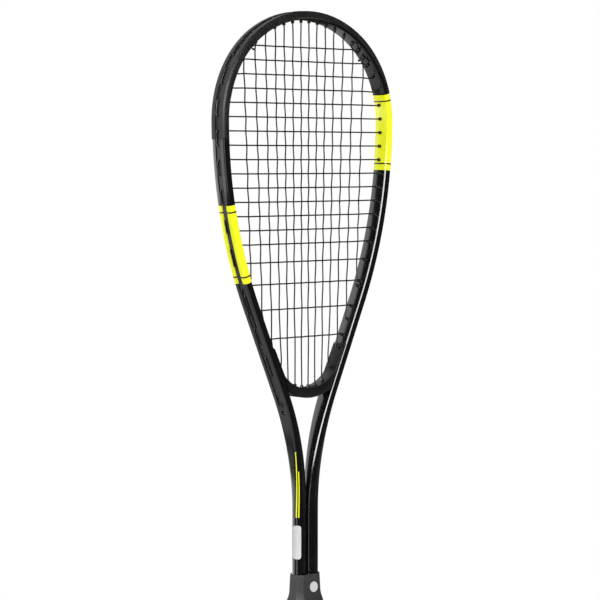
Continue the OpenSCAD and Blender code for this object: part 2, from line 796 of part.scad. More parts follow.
module band_pinstripes() {
    color("#101010")
        one_mesh()
            for (side = [LEFT, RIGHT]) {
                foot = band_foot(side);
                for (start = [foot - band_l + stripe_inset, foot - stripe_inset - stripe_w])
                    difference() {
                        tube_band(side, start, start + stripe_w, decal_t + 0.01, 2 * decal_t);
                        for (h = holes)
                            if (side_of(h.x) == side && abs(abs(h.x) - start) < 5) hole_at(h.x);
                    }
            }
}

frame_tube();
throat_bridge();
head_guard();
grommet_strip_left();
grommet_strip_right();
bridge_grommets();
main_string();
cross_string();
tie_off_knots();
handle_pallet_front();
handle_pallet_back();
grip_wrap();
grip_finishing_tape();
butt_cap();
butt_badge();
grip_collar();
collar_badge();
shaft_label();
shaft_accent();
yellow_band_left();
yellow_band_right();
band_pinstripes();
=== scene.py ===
import math

import bmesh
import bpy
import numpy as np
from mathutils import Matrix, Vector


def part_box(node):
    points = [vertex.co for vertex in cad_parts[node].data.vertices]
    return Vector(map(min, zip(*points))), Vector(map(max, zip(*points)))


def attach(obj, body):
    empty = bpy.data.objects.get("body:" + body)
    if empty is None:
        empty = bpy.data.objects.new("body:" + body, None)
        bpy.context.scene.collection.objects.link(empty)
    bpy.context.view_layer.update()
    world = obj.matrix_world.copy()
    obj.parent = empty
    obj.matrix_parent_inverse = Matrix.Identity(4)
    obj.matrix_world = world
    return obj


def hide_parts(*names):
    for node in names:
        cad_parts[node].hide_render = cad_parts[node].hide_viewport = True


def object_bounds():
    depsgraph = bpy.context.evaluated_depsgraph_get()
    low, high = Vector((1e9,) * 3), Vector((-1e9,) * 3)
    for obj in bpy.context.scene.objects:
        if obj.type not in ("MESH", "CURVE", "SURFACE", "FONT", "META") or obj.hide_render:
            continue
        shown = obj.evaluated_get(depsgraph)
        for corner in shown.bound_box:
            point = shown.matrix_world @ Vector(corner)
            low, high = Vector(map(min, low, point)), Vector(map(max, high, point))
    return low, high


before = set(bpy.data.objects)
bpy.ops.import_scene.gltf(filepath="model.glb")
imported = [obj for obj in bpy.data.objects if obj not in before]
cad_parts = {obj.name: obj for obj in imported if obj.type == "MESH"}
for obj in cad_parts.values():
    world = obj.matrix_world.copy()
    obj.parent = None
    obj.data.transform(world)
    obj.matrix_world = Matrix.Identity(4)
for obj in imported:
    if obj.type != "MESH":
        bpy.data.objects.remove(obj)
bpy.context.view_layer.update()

MM = 0.001
# The tube's inner face is slightly bowed across its depth
BOW, BOW_AT = 0.35, (0.75, 0.5, 0.25, 0.0, -0.25, -0.5, -0.75)
LEFT, RIGHT = -1, 1

# ---- The tube's middle line and section, in millimetres, as the CAD part has them ----
RACKET_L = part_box("head_guard")[1].z / MM
HEAD_HALF_W, HEAD_RISE = 98.1, 92.3
SHOULDER_R, SIDE_R = 90.0, 393.0
FLARE = math.radians(24.0)
NECK_R, LEG_X, LEG_FOOT_Z = 250.0, 7.1, 12.0
HEAD_T, HEAD_D, HEAD_CORNER_R = 7.0, 17.8, 2.8
SHAFT_T, SHAFT_D, SHAFT_R = 13.2, 11.6, 5.6
CHANNEL_DEPTH, CHANNEL_HALF_W = 1.4, 2.9
SECTION_TOP_Z, SECTION_FOOT_Z = 350.0, 235.0
CHANNEL_FOOT_Z, CHANNEL_FADE = 337.0, 12.0
# Round hole that ends the string channel: radius, drop below the channel's foot, length
CHANNEL_END_R, CHANNEL_END_DROP, CHANNEL_END_L = 2.2, 1.8, 4
BRIDGE_BORE_R = 1.55
STRIP_T, GUARD_T, FIT = 0.8, 0.5, 0.05

WIDEST_Z = RACKET_L - GUARD_T - HEAD_T / 2 - HEAD_RISE
CROWN_R = (((HEAD_HALF_W - SHOULDER_R) ** 2 + HEAD_RISE ** 2 - SHOULDER_R ** 2)
           / (2 * (HEAD_RISE - SHOULDER_R)))
CROWN_Z = WIDEST_Z + HEAD_RISE - CROWN_R
CROWN_END = math.atan2(WIDEST_Z - CROWN_Z, HEAD_HALF_W - SHOULDER_R)
SIDE_END_X = HEAD_HALF_W - SIDE_R * (1 - math.cos(FLARE))
SIDE_END_Z = WIDEST_Z - SIDE_R * math.sin(FLARE)
NECK_TOP_X = LEG_X + NECK_R * (1 - math.cos(FLARE))
STRAIGHT_L = (SIDE_END_X - NECK_TOP_X) / math.sin(FLARE)
NECK_Z = SIDE_END_Z - STRAIGHT_L * math.cos(FLARE) - NECK_R * math.sin(FLARE)

S_CROWN = CROWN_R * (math.pi / 2 - CROWN_END)
S_SHOULDER = S_CROWN + SHOULDER_R * CROWN_END
S_SIDE = S_SHOULDER + SIDE_R * FLARE
S_STRAIGHT = S_SIDE + STRAIGHT_L
S_NECK = S_STRAIGHT + NECK_R * FLARE
S_FOOT = S_NECK + NECK_Z - LEG_FOOT_Z


def arc_point(x, z, r, a):
    return x + r * math.cos(a), z + r * math.sin(a), a


def half_at(s):
    """x, z and the outward normal's angle on the right half, s millimetres from the top."""
    if s < S_CROWN:
        return arc_point(0, CROWN_Z, CROWN_R, math.pi / 2 - s / CROWN_R)
    if s < S_SHOULDER:
        turn = CROWN_END - (s - S_CROWN) / SHOULDER_R
        return arc_point(HEAD_HALF_W - SHOULDER_R, WIDEST_Z, SHOULDER_R, turn)
    if s < S_SIDE:
        return arc_point(HEAD_HALF_W - SIDE_R, WIDEST_Z, SIDE_R, -(s - S_SHOULDER) / SIDE_R)
    if s < S_STRAIGHT:
        run = s - S_SIDE
        return SIDE_END_X - run * math.sin(FLARE), SIDE_END_Z - run * math.cos(FLARE), -FLARE
    if s < S_NECK:
        b = FLARE - (s - S_STRAIGHT) / NECK_R
        return LEG_X + NECK_R * (1 - math.cos(b)), NECK_Z + NECK_R * math.sin(b), -b
    return LEG_X, NECK_Z - (s - S_NECK), 0.0


def height(s):
    return half_at(abs(s))[1]


def beside(s, out, y=0.0):
    """Point beside the route: out along the outward normal, y along the depth."""
    x, z, a = half_at(abs(s))
    side = LEFT if s < 0 else RIGHT
    return np.array([side * (x + out * math.cos(a)), y, z + out * math.sin(a)])


def smooth(u):
    u = min(max(u, 0.0), 1.0)
    return u * u * (3 - 2 * u)


def mix(a, b, u):
    return a + (b - a) * u


def root(f, lo, hi):
    """Place between lo and hi at which f changes sign."""
    f_lo = f(lo)
    for _ in range(40):
        mid = (lo + hi) / 2
        if f_lo * f(mid) <= 0:
            hi = mid
        else:
            lo, f_lo = mid, f(mid)
    return (lo + hi) / 2


def shaft_share(z):
    return smooth((SECTION_TOP_Z - z) / (SECTION_TOP_Z - SECTION_FOOT_Z))


def tube_t(z):
    return mix(HEAD_T, SHAFT_T, shaft_share(z))


def tube_d(z):
    return mix(HEAD_D, SHAFT_D, shaft_share(z))


def tube_r(z):
    return mix(HEAD_CORNER_R, SHAFT_R, shaft_share(z))


def channel(z):
    return CHANNEL_DEPTH * smooth((z - CHANNEL_FOOT_Z) / CHANNEL_FADE)


def section(t, d, r, depth, grow=0.0, steps=8, channel_w=CHANNEL_HALF_W):
    """Rounded rectangle with a channel in its +x side; grow moves every face outwards."""
    hx, hy, face = t / 2 - r, d / 2 - r, t / 2 + grow
    w = min(channel_w - grow, 0.7 * hy)
    slope = min(0.5, 0.2 * hy)
    ring = [(face - depth, w), (face, w + slope)]
    for q in range(4):
        sx = 1 if q in (0, 3) else -1
        sy = 1 if q < 2 else -1
        for k in range(steps + 1):
            a = math.pi / 2 * (q + k / steps)
            ring.append((sx * hx + (r + grow) * math.cos(a), sy * hy + (r + grow) * math.sin(a)))
        if q == 1:
            ring += [(-face - BOW * (1 - u * u), u * hy) for u in BOW_AT]
    ring += [(face, -w - slope), (face - depth, -w)]
    return ring


# ---- Mesh helpers ----
def add_mesh(name, verts, faces, sharp_deg=35.0, uvs=None):
    """A smooth-shaded mesh object from points in millimetres; uvs has one pair per face corner."""
    mesh = bpy.data.meshes.new(name)
    mesh.from_pydata([tuple(c * MM for c in v) for v in verts], [], faces)
    mesh.polygons.foreach_set("use_smooth", [True] * len(mesh.polygons))
    mesh.set_sharp_from_angle(angle=math.radians(sharp_deg))
    if uvs is not None:
        layer = mesh.uv_layers.new(name="wrap")
        layer.data.foreach_set("uv", [c for uv in uvs for c in uv])
    obj = bpy.data.objects.new(name, mesh)
    bpy.context.scene.collection.objects.link(obj)
    return obj


class Mesh:
    """Collects skins and patches, then becomes one object."""

    def __init__(self):
        self.verts, self.faces, self.uvs = [], [], []

    def skin(self, rings, caps=True, closed=False, uv=None):
        """Quads through rings of equal length. closed joins the last ring to the first.

        uv(i, k) gives the corner of ring i and point k.
        """
        base, n, m = len(self.verts), len(rings), len(rings[0])
        for ring in rings:
            self.verts.extend(ring)
        for i in range(n if closed else n - 1):
            j = (i + 1) % n
            for k in range(m):
                k2 = (k + 1) % m
                self.faces.append((base + i * m + k, base + j * m + k, base + j * m + k2, base + i * m + k2))
                corners = [(i, k), (i + 1, k), (i + 1, k + 1), (i, k + 1)]
                self.uvs.extend(uv(*c) if uv else (0.0, 0.0) for c in corners)
        if caps and not closed:
            self.faces.append(tuple(base + k for k in range(m)))
            self.faces.append(tuple(base + (n - 1) * m + k for k in reversed(range(m))))
            self.uvs.extend([(0.0, 0.0)] * (2 * m))

    def object(self, name, sharp_deg=35.0, with_uv=False):
        return add_mesh(name, self.verts, self.faces, sharp_deg, self.uvs if with_uv else None)


def unit(v):
    v = np.asarray(v, float)
    return v / max(np.linalg.norm(v), 1e-9)


def smooth_route(points, step):
    """Catmull-Rom curve through the points, with a ring about every step millimetres."""
    p = [np.asarray(q, float) for q in points]
    p = [2 * p[0] - p[1]] + p + [2 * p[-1] - p[-2]]
    out = []
    for a, b, c, d in zip(p[:-3], p[1:-2], p[2:-1], p[3:]):
        span = np.linalg.norm(c - b)
        before = (c - a) / max(np.linalg.norm(c - b) + np.linalg.norm(b - a), 1e-9) * span
        after = (d - b) / max(np.linalg.norm(d - c) + np.linalg.norm(c - b), 1e-9) * span
        count = max(1, math.ceil(span / step))
        for k in range(count):
            u = k / count
            h00, h10 = 2 * u ** 3 - 3 * u ** 2 + 1, u ** 3 - 2 * u ** 2 + u
            h01, h11 = -2 * u ** 3 + 3 * u ** 2, u ** 3 - u ** 2
            out.append(h00 * b + h10 * before + h01 * c + h11 * after)
    out.append(p[-2])
    return out


def circle(centre, across, up, r, sides):
    """Points round a centre, in the plane of across and up."""
    return [centre + r * (across * math.cos(a) - up * math.sin(a))
            for a in (2 * math.pi * k / sides for k in range(sides))]


def tube_rings(route, radius, sides):
    """Rings square to a route that stays near the strings' plane."""
    rings = []
    last = len(route) - 1
    for k, p in enumerate(route):
        before = unit(p - route[k - 1]) if k > 0 else unit(route[1] - p)
        after = unit(route[k + 1] - p) if k < last else before
        t = unit(before + after)
        across = unit(np.cross([0, 1, 0], t))
        up = np.cross(t, across)
        r = radius(k) if callable(radius) else radius
        rings.append(circle(p, across, up, r, sides))
    return rings


def finish_piece(obj, material, slot, *nodes):
    """Material, body and the CAD nodes that the piece stands for; slot is not used."""
    obj.data.materials.clear()
    obj.data.materials.append(material)
    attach(obj, "root")
    if nodes:
        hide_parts(*nodes)
    return obj


# ---- Materials: each is a principled shader whose colour, roughness and bump come from noise ----
class Shader:
    """A node material under construction."""

    def __init__(self, name):
        self.material = bpy.data.materials.new(name)
        self.material.use_nodes = True
        self.nodes = self.material.node_tree.nodes
        self.links = self.material.node_tree.links
        self.bsdf = self.nodes["Principled BSDF"]
        self.coords = self.nodes.new("ShaderNodeTexCoord")

    def put(self, kind, **values):
        node = self.nodes.new(kind)
        for key, value in values.items():
            setattr(node, key, value)
        return node

    def link(self, source, target):
        self.links.new(source, target)

    def scaled(self, scale):
        """Object coordinates, stretched per axis."""
        node = self.put("ShaderNodeMapping")
        node.inputs["Scale"].default_value = scale
        self.link(self.coords.outputs["Object"], node.inputs["Vector"])
        return node.outputs["Vector"]

    def noise(self, scale, detail=4.0, vector=None, rough=0.55):
        node = self.put("ShaderNodeTexNoise")
        node.inputs["Scale"].default_value = scale
        node.inputs["Detail"].default_value = detail
        node.inputs["Roughness"].default_value = rough
        self.link(vector if vector is not None else self.coords.outputs["Object"], node.inputs["Vector"])
        return node.outputs["Fac"]

    def span(self, source, low, high, from_low=0.3, from_high=0.7):
        node = self.put("ShaderNodeMapRange")
        node.inputs["From Min"].default_value = from_low
        node.inputs["From Max"].default_value = from_high
        node.inputs["To Min"].default_value = low
        node.inputs["To Max"].default_value = high
        self.link(source, node.inputs["Value"])
        return node.outputs["Result"]

    def ramp(self, source, *stops):
        node = self.put("ShaderNodeValToRGB")
        ramp = node.color_ramp
        ramp.elements[0].position, ramp.elements[0].color = stops[0][0], (*stops[0][1], 1)
        ramp.elements[1].position, ramp.elements[1].color = stops[-1][0], (*stops[-1][1], 1)
        for position, colour in stops[1:-1]:
            ramp.elements.new(position).color = (*colour, 1)
        self.link(source, node.inputs["Fac"])
        return node.outputs["Color"]

    def bump(self, source, strength, distance):
        node = self.put("ShaderNodeBump")
        node.inputs["Strength"].default_value = strength
        node.inputs["Distance"].default_value = distance
        self.link(source, node.inputs["Height"])
        if self.bsdf.inputs["Normal"].is_linked:
            self.link(self.bsdf.inputs["Normal"].links[0].from_socket, node.inputs["Normal"])
        self.link(node.outputs["Normal"], self.bsdf.inputs["Normal"])
        return node

    def math(self, operation, a, b=None):
        node = self.put("ShaderNodeMath", operation=operation)
        for socket, value in zip(node.inputs, (a, b)):
            if value is None:
                continue
            if isinstance(value, (int, float)):
                socket.default_value = value
            else:
                self.link(value, socket)
        return node.outputs[0]

    def set(self, **values):
        for key, value in values.items():
            self.bsdf.inputs[key.replace("_", " ")].default_value = value


def grey(v):
    return (v, v, v * 1.02)


def gloss_paint(name, low, high, roughness=(0.10, 0.17)):
    """Sprayed and lacquered paint: faint mottling, orange peel and a clear coat."""
    m = Shader(name)
    m.link(m.ramp(m.noise(140), (0.3, low), (0.7, high)), m.bsdf.inputs["Base Color"])
    m.link(m.span(m.noise(60, 5), *roughness), m.bsdf.inputs["Roughness"])
    m.bump(m.noise(700, 2), 0.04, 0.0002)
    m.set(Coat_Weight=0.7, Coat_Roughness=0.05, Specular_IOR_Level=0.5)
    return m.material


def moulded_plastic(name, low, high, roughness=(0.42, 0.6), grain=2200, grain_strength=0.25, scuff=0.0,
                    shine=0.5):
    """Moulded plastic: cloudy tone, fine spark-eroded grain, and lighter scuffs where asked."""
    m = Shader(name)
    tone = m.ramp(m.noise(90), (0.3, low), (0.7, high))
    if scuff > 0:
        marks = m.span(m.noise(260, 6, m.scaled((1, 1, 0.25)), 0.7), 0, scuff, 0.58, 0.72)
        blend = m.put("ShaderNodeMix", data_type="RGBA")
        m.link(marks, blend.inputs["Factor"])
        m.link(tone, blend.inputs["A"])
        blend.inputs["B"].default_value = (*[c * 3 + 0.03 for c in high], 1)
        tone = blend.outputs["Result"]
    m.link(tone, m.bsdf.inputs["Base Color"])
    m.link(m.span(m.noise(150, 5), *roughness), m.bsdf.inputs["Roughness"])
    m.bump(m.noise(grain, 3), grain_strength, 0.0001)
    m.set(Specular_IOR_Level=shine)
    return m.material


def string_nylon():
    """Black multifilament string: a fine twist under a waxy skin."""
    m = Shader("string_nylon")
    twist = m.put("ShaderNodeTexWave", wave_type="BANDS", bands_direction="DIAGONAL")
    twist.inputs["Scale"].default_value = 900
    twist.inputs["Distortion"].default_value = 1.2
    m.link(m.coords.outputs["Object"], twist.inputs["Vector"])
    m.link(m.ramp(m.noise(300), (0.3, grey(0.006)), (0.7, grey(0.014))), m.bsdf.inputs["Base Color"])
    m.link(m.span(m.noise(200, 4), 0.28, 0.42), m.bsdf.inputs["Roughness"])
    m.bump(twist.outputs["Fac"], 0.12, 0.0001)
    return m.material


def neon_print(name, painted_glow=0.22):
    """Neon yellow print under lacquer: slightly uneven ink density, and a painted glow in its own colour."""
    m = Shader(name)
    tone = m.ramp(m.noise(120), (0.3, (0.74, 0.77, 0.008)), (0.7, (0.80, 0.83, 0.014)))
    m.link(tone, m.bsdf.inputs["Base Color"])
    # The print also emits light in its own colour: a painted glow that brightens it beyond what the lamps
    # give
    m.link(tone, m.bsdf.inputs["Emission Color"])
    m.link(m.span(m.noise(60, 5), 0.14, 0.24), m.bsdf.inputs["Roughness"])
    m.bump(m.noise(700, 2), 0.03, 0.0002)
    m.set(Emission_Strength=painted_glow, Coat_Weight=0.5, Coat_Roughness=0.06)
    return m.material


def collar_rubber():
    """Satin moulded rubber: bloom, fine pores and a few handling marks."""
    m = Shader("collar_rubber")
    cloud = m.noise(55, 5, m.scaled((1, 1, 0.45)))
    m.link(m.ramp(cloud, (0.3, grey(0.024)), (0.55, grey(0.034)), (0.75, grey(0.048))),
           m.bsdf.inputs["Base Color"])
    m.link(m.span(m.noise(180, 5), 0.40, 0.56), m.bsdf.inputs["Roughness"])
    m.bump(m.noise(2600, 3), 0.22, 0.0001)
    m.bump(m.noise(240, 3), 0.12, 0.0004)
    m.set(Sheen_Weight=0.06, Sheen_Roughness=0.5, Specular_IOR_Level=0.3)
    return m.material


def grip_pu():
    """Soft polyurethane wrap: pressed grain, and rows of small perforations along the strip, with painted
    shade inside them.
    """
    m = Shader("grip_pu")
    uv = m.put("ShaderNodeUVMap", uv_map="wrap")
    cell = m.put("ShaderNodeVectorMath", operation="FRACTION")
    m.link(uv.outputs["UV"], cell.inputs[0])
    centre = m.put("ShaderNodeVectorMath", operation="DISTANCE")
    centre.inputs[1].default_value = (0.5, 0.5, 0)
    m.link(cell.outputs["Vector"], centre.inputs[0])
    hole = m.span(centre.outputs["Value"], 1.0, 0.0, 0.13, 0.19)
    tone = m.ramp(m.noise(80, 5), (0.3, grey(0.028)), (0.7, grey(0.045)))
    # Inside each perforation the colour turns near black: painted shade in the hole
    blend = m.put("ShaderNodeMix", data_type="RGBA")
    m.link(hole, blend.inputs["Factor"])
    m.link(tone, blend.inputs["A"])
    blend.inputs["B"].default_value = (0.006, 0.006, 0.006, 1)
    m.link(blend.outputs["Result"], m.bsdf.inputs["Base Color"])
    m.link(m.span(m.noise(140, 5), 0.46, 0.62), m.bsdf.inputs["Roughness"])
    m.bump(m.noise(1500, 4), 0.3, 0.00015)
    m.bump(m.math("SUBTRACT", 1.0, hole), 0.5, 0.0004)
    m.set(Sheen_Weight=0.15, Sheen_Roughness=0.4)
    return m.material


def label_film():
    """Plain white film with faint, blank grey rules."""
    m = Shader("label_film")
    uv = m.put("ShaderNodeUVMap", uv_map="wrap")
    parts = m.put("ShaderNodeSeparateXYZ")
    m.link(uv.outputs["UV"], parts.inputs["Vector"])
    across, along = parts.outputs["X"], parts.outputs["Y"]
    rows = m.math("FRACT", m.math("MULTIPLY", across, 5.0))
    bar = m.math("LESS_THAN", m.math("ABSOLUTE", m.math("SUBTRACT", rows, 0.5)), 0.12)
    inside = m.math("LESS_THAN", m.math("ABSOLUTE", m.math("SUBTRACT", along, 0.52)), 0.36)
    ink = m.math("MULTIPLY", m.math("MULTIPLY", bar, inside), m.span(m.noise(900, 2), 0.15, 0.5))
    blend = m.put("ShaderNodeMix", data_type="RGBA")
    m.link(ink, blend.inputs["Factor"])
    m.link(m.ramp(m.noise(100), (0.3, grey(0.60)), (0.7, grey(0.66))), blend.inputs["A"])
    blend.inputs["B"].default_value = (0.42, 0.42, 0.44, 1)
    m.link(blend.outputs["Result"], m.bsdf.inputs["Base Color"])
    m.link(m.span(m.noise(200, 4), 0.3, 0.42), m.bsdf.inputs["Roughness"])
    m.bump(m.noise(900, 2), 0.05, 0.0001)
    return m.material


PAINT = gloss_paint("frame_gloss_black", grey(0.0035), grey(0.0065))
PINSTRIPE = gloss_paint("pinstripe_black", grey(0.004), grey(0.007))
NEON = neon_print("neon_yellow")
GUARD = moulded_plastic("guard_nylon", grey(0.010), grey(0.017), (0.40, 0.54), 2400, 0.3, 0.18, 0.32)
GROMMET = moulded_plastic("grommet_nylon", grey(0.010), grey(0.016), (0.34, 0.5), 2600, 0.15)
BRIDGE = moulded_plastic("bridge_plastic", grey(0.006), grey(0.010), (0.30, 0.42), 2600, 0.14, 0.0, 0.2)
PALLET = moulded_plastic("pallet_plastic", grey(0.05), grey(0.07), (0.5, 0.65), 1500, 0.3)
BUTT = moulded_plastic("butt_plastic", grey(0.018), grey(0.028), (0.4, 0.55), 2200, 0.3, 0.2)
TAPE = moulded_plastic("finishing_tape", grey(0.010), grey(0.016), (0.28, 0.4), 1200, 0.12)
BADGE_GREY = moulded_plastic("badge_grey", grey(0.22), grey(0.28), (0.25, 0.36), 1800, 0.1)
BADGE_WHITE = moulded_plastic("badge_white", grey(0.50), grey(0.55), (0.18, 0.28), 1500, 0.05)
STRING = string_nylon()
RUBBER = collar_rubber()
GRIP = grip_pu()
LABEL = label_film()

# ---- Where the strings run, as in the CAD part ----
STRING_D = 1.25
MAINS, CROSSES, LOWER_CROSSES = 7, 19, 4
CROSS_TOP_Z, CROSS_STEP = 654.35, 12.265
FAN_Z, FAN_RATE = 612.0, 0.0006
MAIN_WEAVE, CROSS_WEAVE = 0.38, 0.95
BARREL_TIP, ARM_TIP = 2.5, 4.9
BRIDGE_TOP_Z, BRIDGE_R, BRIDGE_T, BRIDGE_D = 354.5, 41.9, 8.5, 15.6
BRIDGE_MAINS, BRIDGE_GROOVE = 3, 2.0
BRIDGE_Z = BRIDGE_TOP_Z + BRIDGE_R
BRIDGE_FOOT_R = BRIDGE_R + BRIDGE_T
BRIDGE_LOOP_R = BRIDGE_FOOT_R - BRIDGE_GROOVE + STRIP_T + STRING_D / 2 + FIT
GUARD_END_Z = 573.6
SHOULDER_SHIFT = 3.1
SHARED_Y, LOOP_Y, CORNER = 0.68, 1.35, 0.7
LOOP_OUT = HEAD_T / 2 - CHANNEL_DEPTH + STRIP_T + STRING_D / 2 + FIT
LAST_MAIN, LAST_CROSS = MAINS - 1, CROSSES - 1


def main_x(n, z):
    return (4.5 + 9.55 * n + 0.04 * n ** 3) * (1 - FAN_RATE * (FAN_Z - z))


def cross_z(j):
    low = max(0, j - (LAST_CROSS - LOWER_CROSSES))
    return CROSS_TOP_Z - CROSS_STEP * j - low * (2 + 1.6 * low)


def tip_of_main(n):
    return ARM_TIP if n == BRIDGE_MAINS else BARREL_TIP


def main_hole(n, tip, lo, hi):
    def miss(s):
        p = beside(s, -HEAD_T / 2 - tip)
        return p[0] - main_x(n, p[2])
    return root(miss, lo, hi)


def z_root(z, lo=0.0, hi=S_FOOT, out=0.0):
    return root(lambda s: beside(s, out)[2] - z, lo, hi)


TOP_S = [main_hole(n, BARREL_TIP, 0, S_SHOULDER) - (SHOULDER_SHIFT if n > MAINS - 3 else 0)
         for n in range(MAINS)]
FOOT_S = [0 if n < BRIDGE_MAINS else main_hole(n, tip_of_main(n), S_SHOULDER, S_STRAIGHT)
          for n in range(MAINS)]
CROSS_S = [z_root(cross_z(j), 0, S_STRAIGHT, -HEAD_T / 2 - BARREL_TIP) + (SHOULDER_SHIFT if j < 2 else 0)
           for j in range(CROSSES)]
FOOT_TIE_S = -FOOT_S[LAST_MAIN - 1]
SHARED = [CROSS_S[0], -CROSS_S[0], TOP_S[LAST_MAIN], FOOT_TIE_S]
BAND_L, BAND_FEET = 69.4, {LEFT: 450.7, RIGHT: 546.5}


def band_foot(side):
    return z_root(BAND_FEET[side], S_CROWN, S_STRAIGHT)


GUARD_S = {LEFT: z_root(GUARD_END_Z, 0, S_SIDE), RIGHT: band_foot(RIGHT) - BAND_L - 0.3}
STRIP_FOOT_S = z_root(CHANNEL_FOOT_Z + CHANNEL_FADE, S_SIDE, S_NECK)
HALF_HOLES = ([(s, BARREL_TIP) for s in TOP_S]
              + [(FOOT_S[n], tip_of_main(n)) for n in range(BRIDGE_MAINS, MAINS)]
              + [(s, BARREL_TIP) for s in CROSS_S])
HOLES = [(side * s, tip) for side in (LEFT, RIGHT) for s, tip in HALF_HOLES]


def in_guard(s):
    return abs(s) < GUARD_S[LEFT if s < 0 else RIGHT]


def is_shared(s):
    return min(abs(t - s) for t in SHARED) < 0.1


def bore_r(s):
    return 1.45 if is_shared(s) else 1.0


def hole_shift(s):
    return SHARED_Y if is_shared(s) else 0.0


def mouth(s, tip, way, y_loop, y_hole):
    return [beside(s + way * CORNER, LOOP_OUT, y_loop),
            beside(s, LOOP_OUT - CORNER, mix(y_loop, y_hole, 0.8)),
            beside(s, -HEAD_T / 2 - tip, y_hole)]


def channel_run(a, b, y):
    steps = max(2, math.ceil(abs(b - a) / 8))
    return [beside(mix(a, b, k / steps), LOOP_OUT, y) for k in range(1, steps)]


def arc_z(r, x):
    return BRIDGE_Z - math.sqrt(r * r - x * x)


def bridge_x(n):
    return main_x(n, BRIDGE_TOP_Z)


def bridge_upper_z(n):
    return arc_z(BRIDGE_R, bridge_x(n)) + BARREL_TIP


def under_bridge(x, y):
    return np.array([x, y, arc_z(BRIDGE_LOOP_R, x)])


def foot_z(n):
    return bridge_upper_z(n) if n < BRIDGE_MAINS else beside(FOOT_S[n], -HEAD_T / 2 - tip_of_main(n))[2]


def top_z(n):
    return beside(TOP_S[n], -HEAD_T / 2 - BARREL_TIP)[2]


def meets(n, j):
    return foot_z(n) + 2 < cross_z(j) < top_z(n) - 2


def over(i, j):
    return 1 if (i + j) % 2 == 0 else -1


def foot_mouth(n, side):
    if n < BRIDGE_MAINS:
        x = side * bridge_x(n)
        turn = side * (1 if n == 1 else -1)
        return [under_bridge(x + turn * CORNER, -LOOP_Y),
                np.array([x, -LOOP_Y * 0.2, arc_z(BRIDGE_LOOP_R, x) + CORNER]),
                np.array([x, 0, bridge_upper_z(n)])]
    s = side * FOOT_S[n]
    return mouth(s, tip_of_main(n), side * (1 if n % 2 == 0 else -1), -LOOP_Y, -hole_shift(s))


def top_mouth(n, side):
    s = side * TOP_S[n]
    way = -1 if n == LAST_MAIN or n % 2 == 1 else 1
    return mouth(s, BARREL_TIP, side * way, -LOOP_Y, -hole_shift(s))


def main_span(n, side):
    i = LAST_MAIN - n if side < 0 else MAINS + n
    crossings = [np.array([side * main_x(n, cross_z(j)), MAIN_WEAVE * over(i, j), cross_z(j)])
                 for j in range(LAST_CROSS, -1, -1) if meets(n, j)]
    return foot_mouth(n, side) + crossings + top_mouth(n, side)[::-1]


def main_link(n, side):
    if n % 2 == 0:
        return channel_run(side * TOP_S[n], side * TOP_S[n + 1], -LOOP_Y)
    if n < BRIDGE_MAINS - 1:
        return [under_bridge(side * mix(bridge_x(n), bridge_x(n + 1), u), -LOOP_Y) for u in (0.25, 0.5, 0.75)]
    return channel_run(side * FOOT_S[n], side * FOOT_S[n + 1], -LOOP_Y)


def knot_place(s, side_y):
    return beside(s, -HEAD_T / 2 - BARREL_TIP - 2.2, side_y * 2.1)


def tail(s, side_y):
    return [beside(s, -HEAD_T / 2 - BARREL_TIP - 0.9, side_y * 1.2), knot_place(s, side_y)]


def main_half(side):
    route = []
    for n in range(MAINS):
        span = main_span(n, side)
        route += span if n % 2 == 0 else span[::-1]
        if n < LAST_MAIN:
            route += main_link(n, side)
    s = side * CROSS_S[0]
    return (route + channel_run(side * TOP_S[LAST_MAIN], s, -LOOP_Y)
            + mouth(s, BARREL_TIP, side, -LOOP_Y, -SHARED_Y) + tail(s, -1))


def cross_end(j, side):
    s = side * CROSS_S[j]
    leaves = (side == RIGHT) == (j % 2 == 1)
    way = 1 if j == 0 and side == RIGHT else -1 if j == LAST_CROSS and side == LEFT else 1 if leaves else -1
    return mouth(s, BARREL_TIP, side * way, LOOP_Y, hole_shift(s))


def cross_span(j):
    crossings = []
    for i in range(2 * MAINS):
        n, side = (LAST_MAIN - i, LEFT) if i < MAINS else (i - MAINS, RIGHT)
        if meets(n, j):
            crossings.append(np.array([side * main_x(n, cross_z(j)), -CROSS_WEAVE * over(i, j), cross_z(j)]))
    return cross_end(j, LEFT) + crossings + cross_end(j, RIGHT)[::-1]


def cross_route():
    s = TOP_S[LAST_MAIN]
    start = channel_run(CROSS_S[0], s, LOOP_Y) + mouth(s, BARREL_TIP, -1, LOOP_Y, SHARED_Y) + tail(s, 1)
    route = start[::-1]
    for j in range(CROSSES):
        span = cross_span(j)
        route += span[::-1] if j % 2 == 0 else span
        if j < LAST_CROSS:
            side = LEFT if j % 2 == 0 else RIGHT
            route += channel_run(side * CROSS_S[j], side * CROSS_S[j + 1], LOOP_Y)
    route += channel_run(-CROSS_S[LAST_CROSS], FOOT_TIE_S, LOOP_Y)
    return route + mouth(FOOT_TIE_S, BARREL_TIP, LEFT, LOOP_Y, SHARED_Y) + tail(FOOT_TIE_S, 1)


def make_string(name, route):
    body = Mesh()
    body.skin(tube_rings(smooth_route(route, 1.3), STRING_D / 2, 10))
    return finish_piece(body.object(name + "_strung", 60), STRING, "string_black", name)


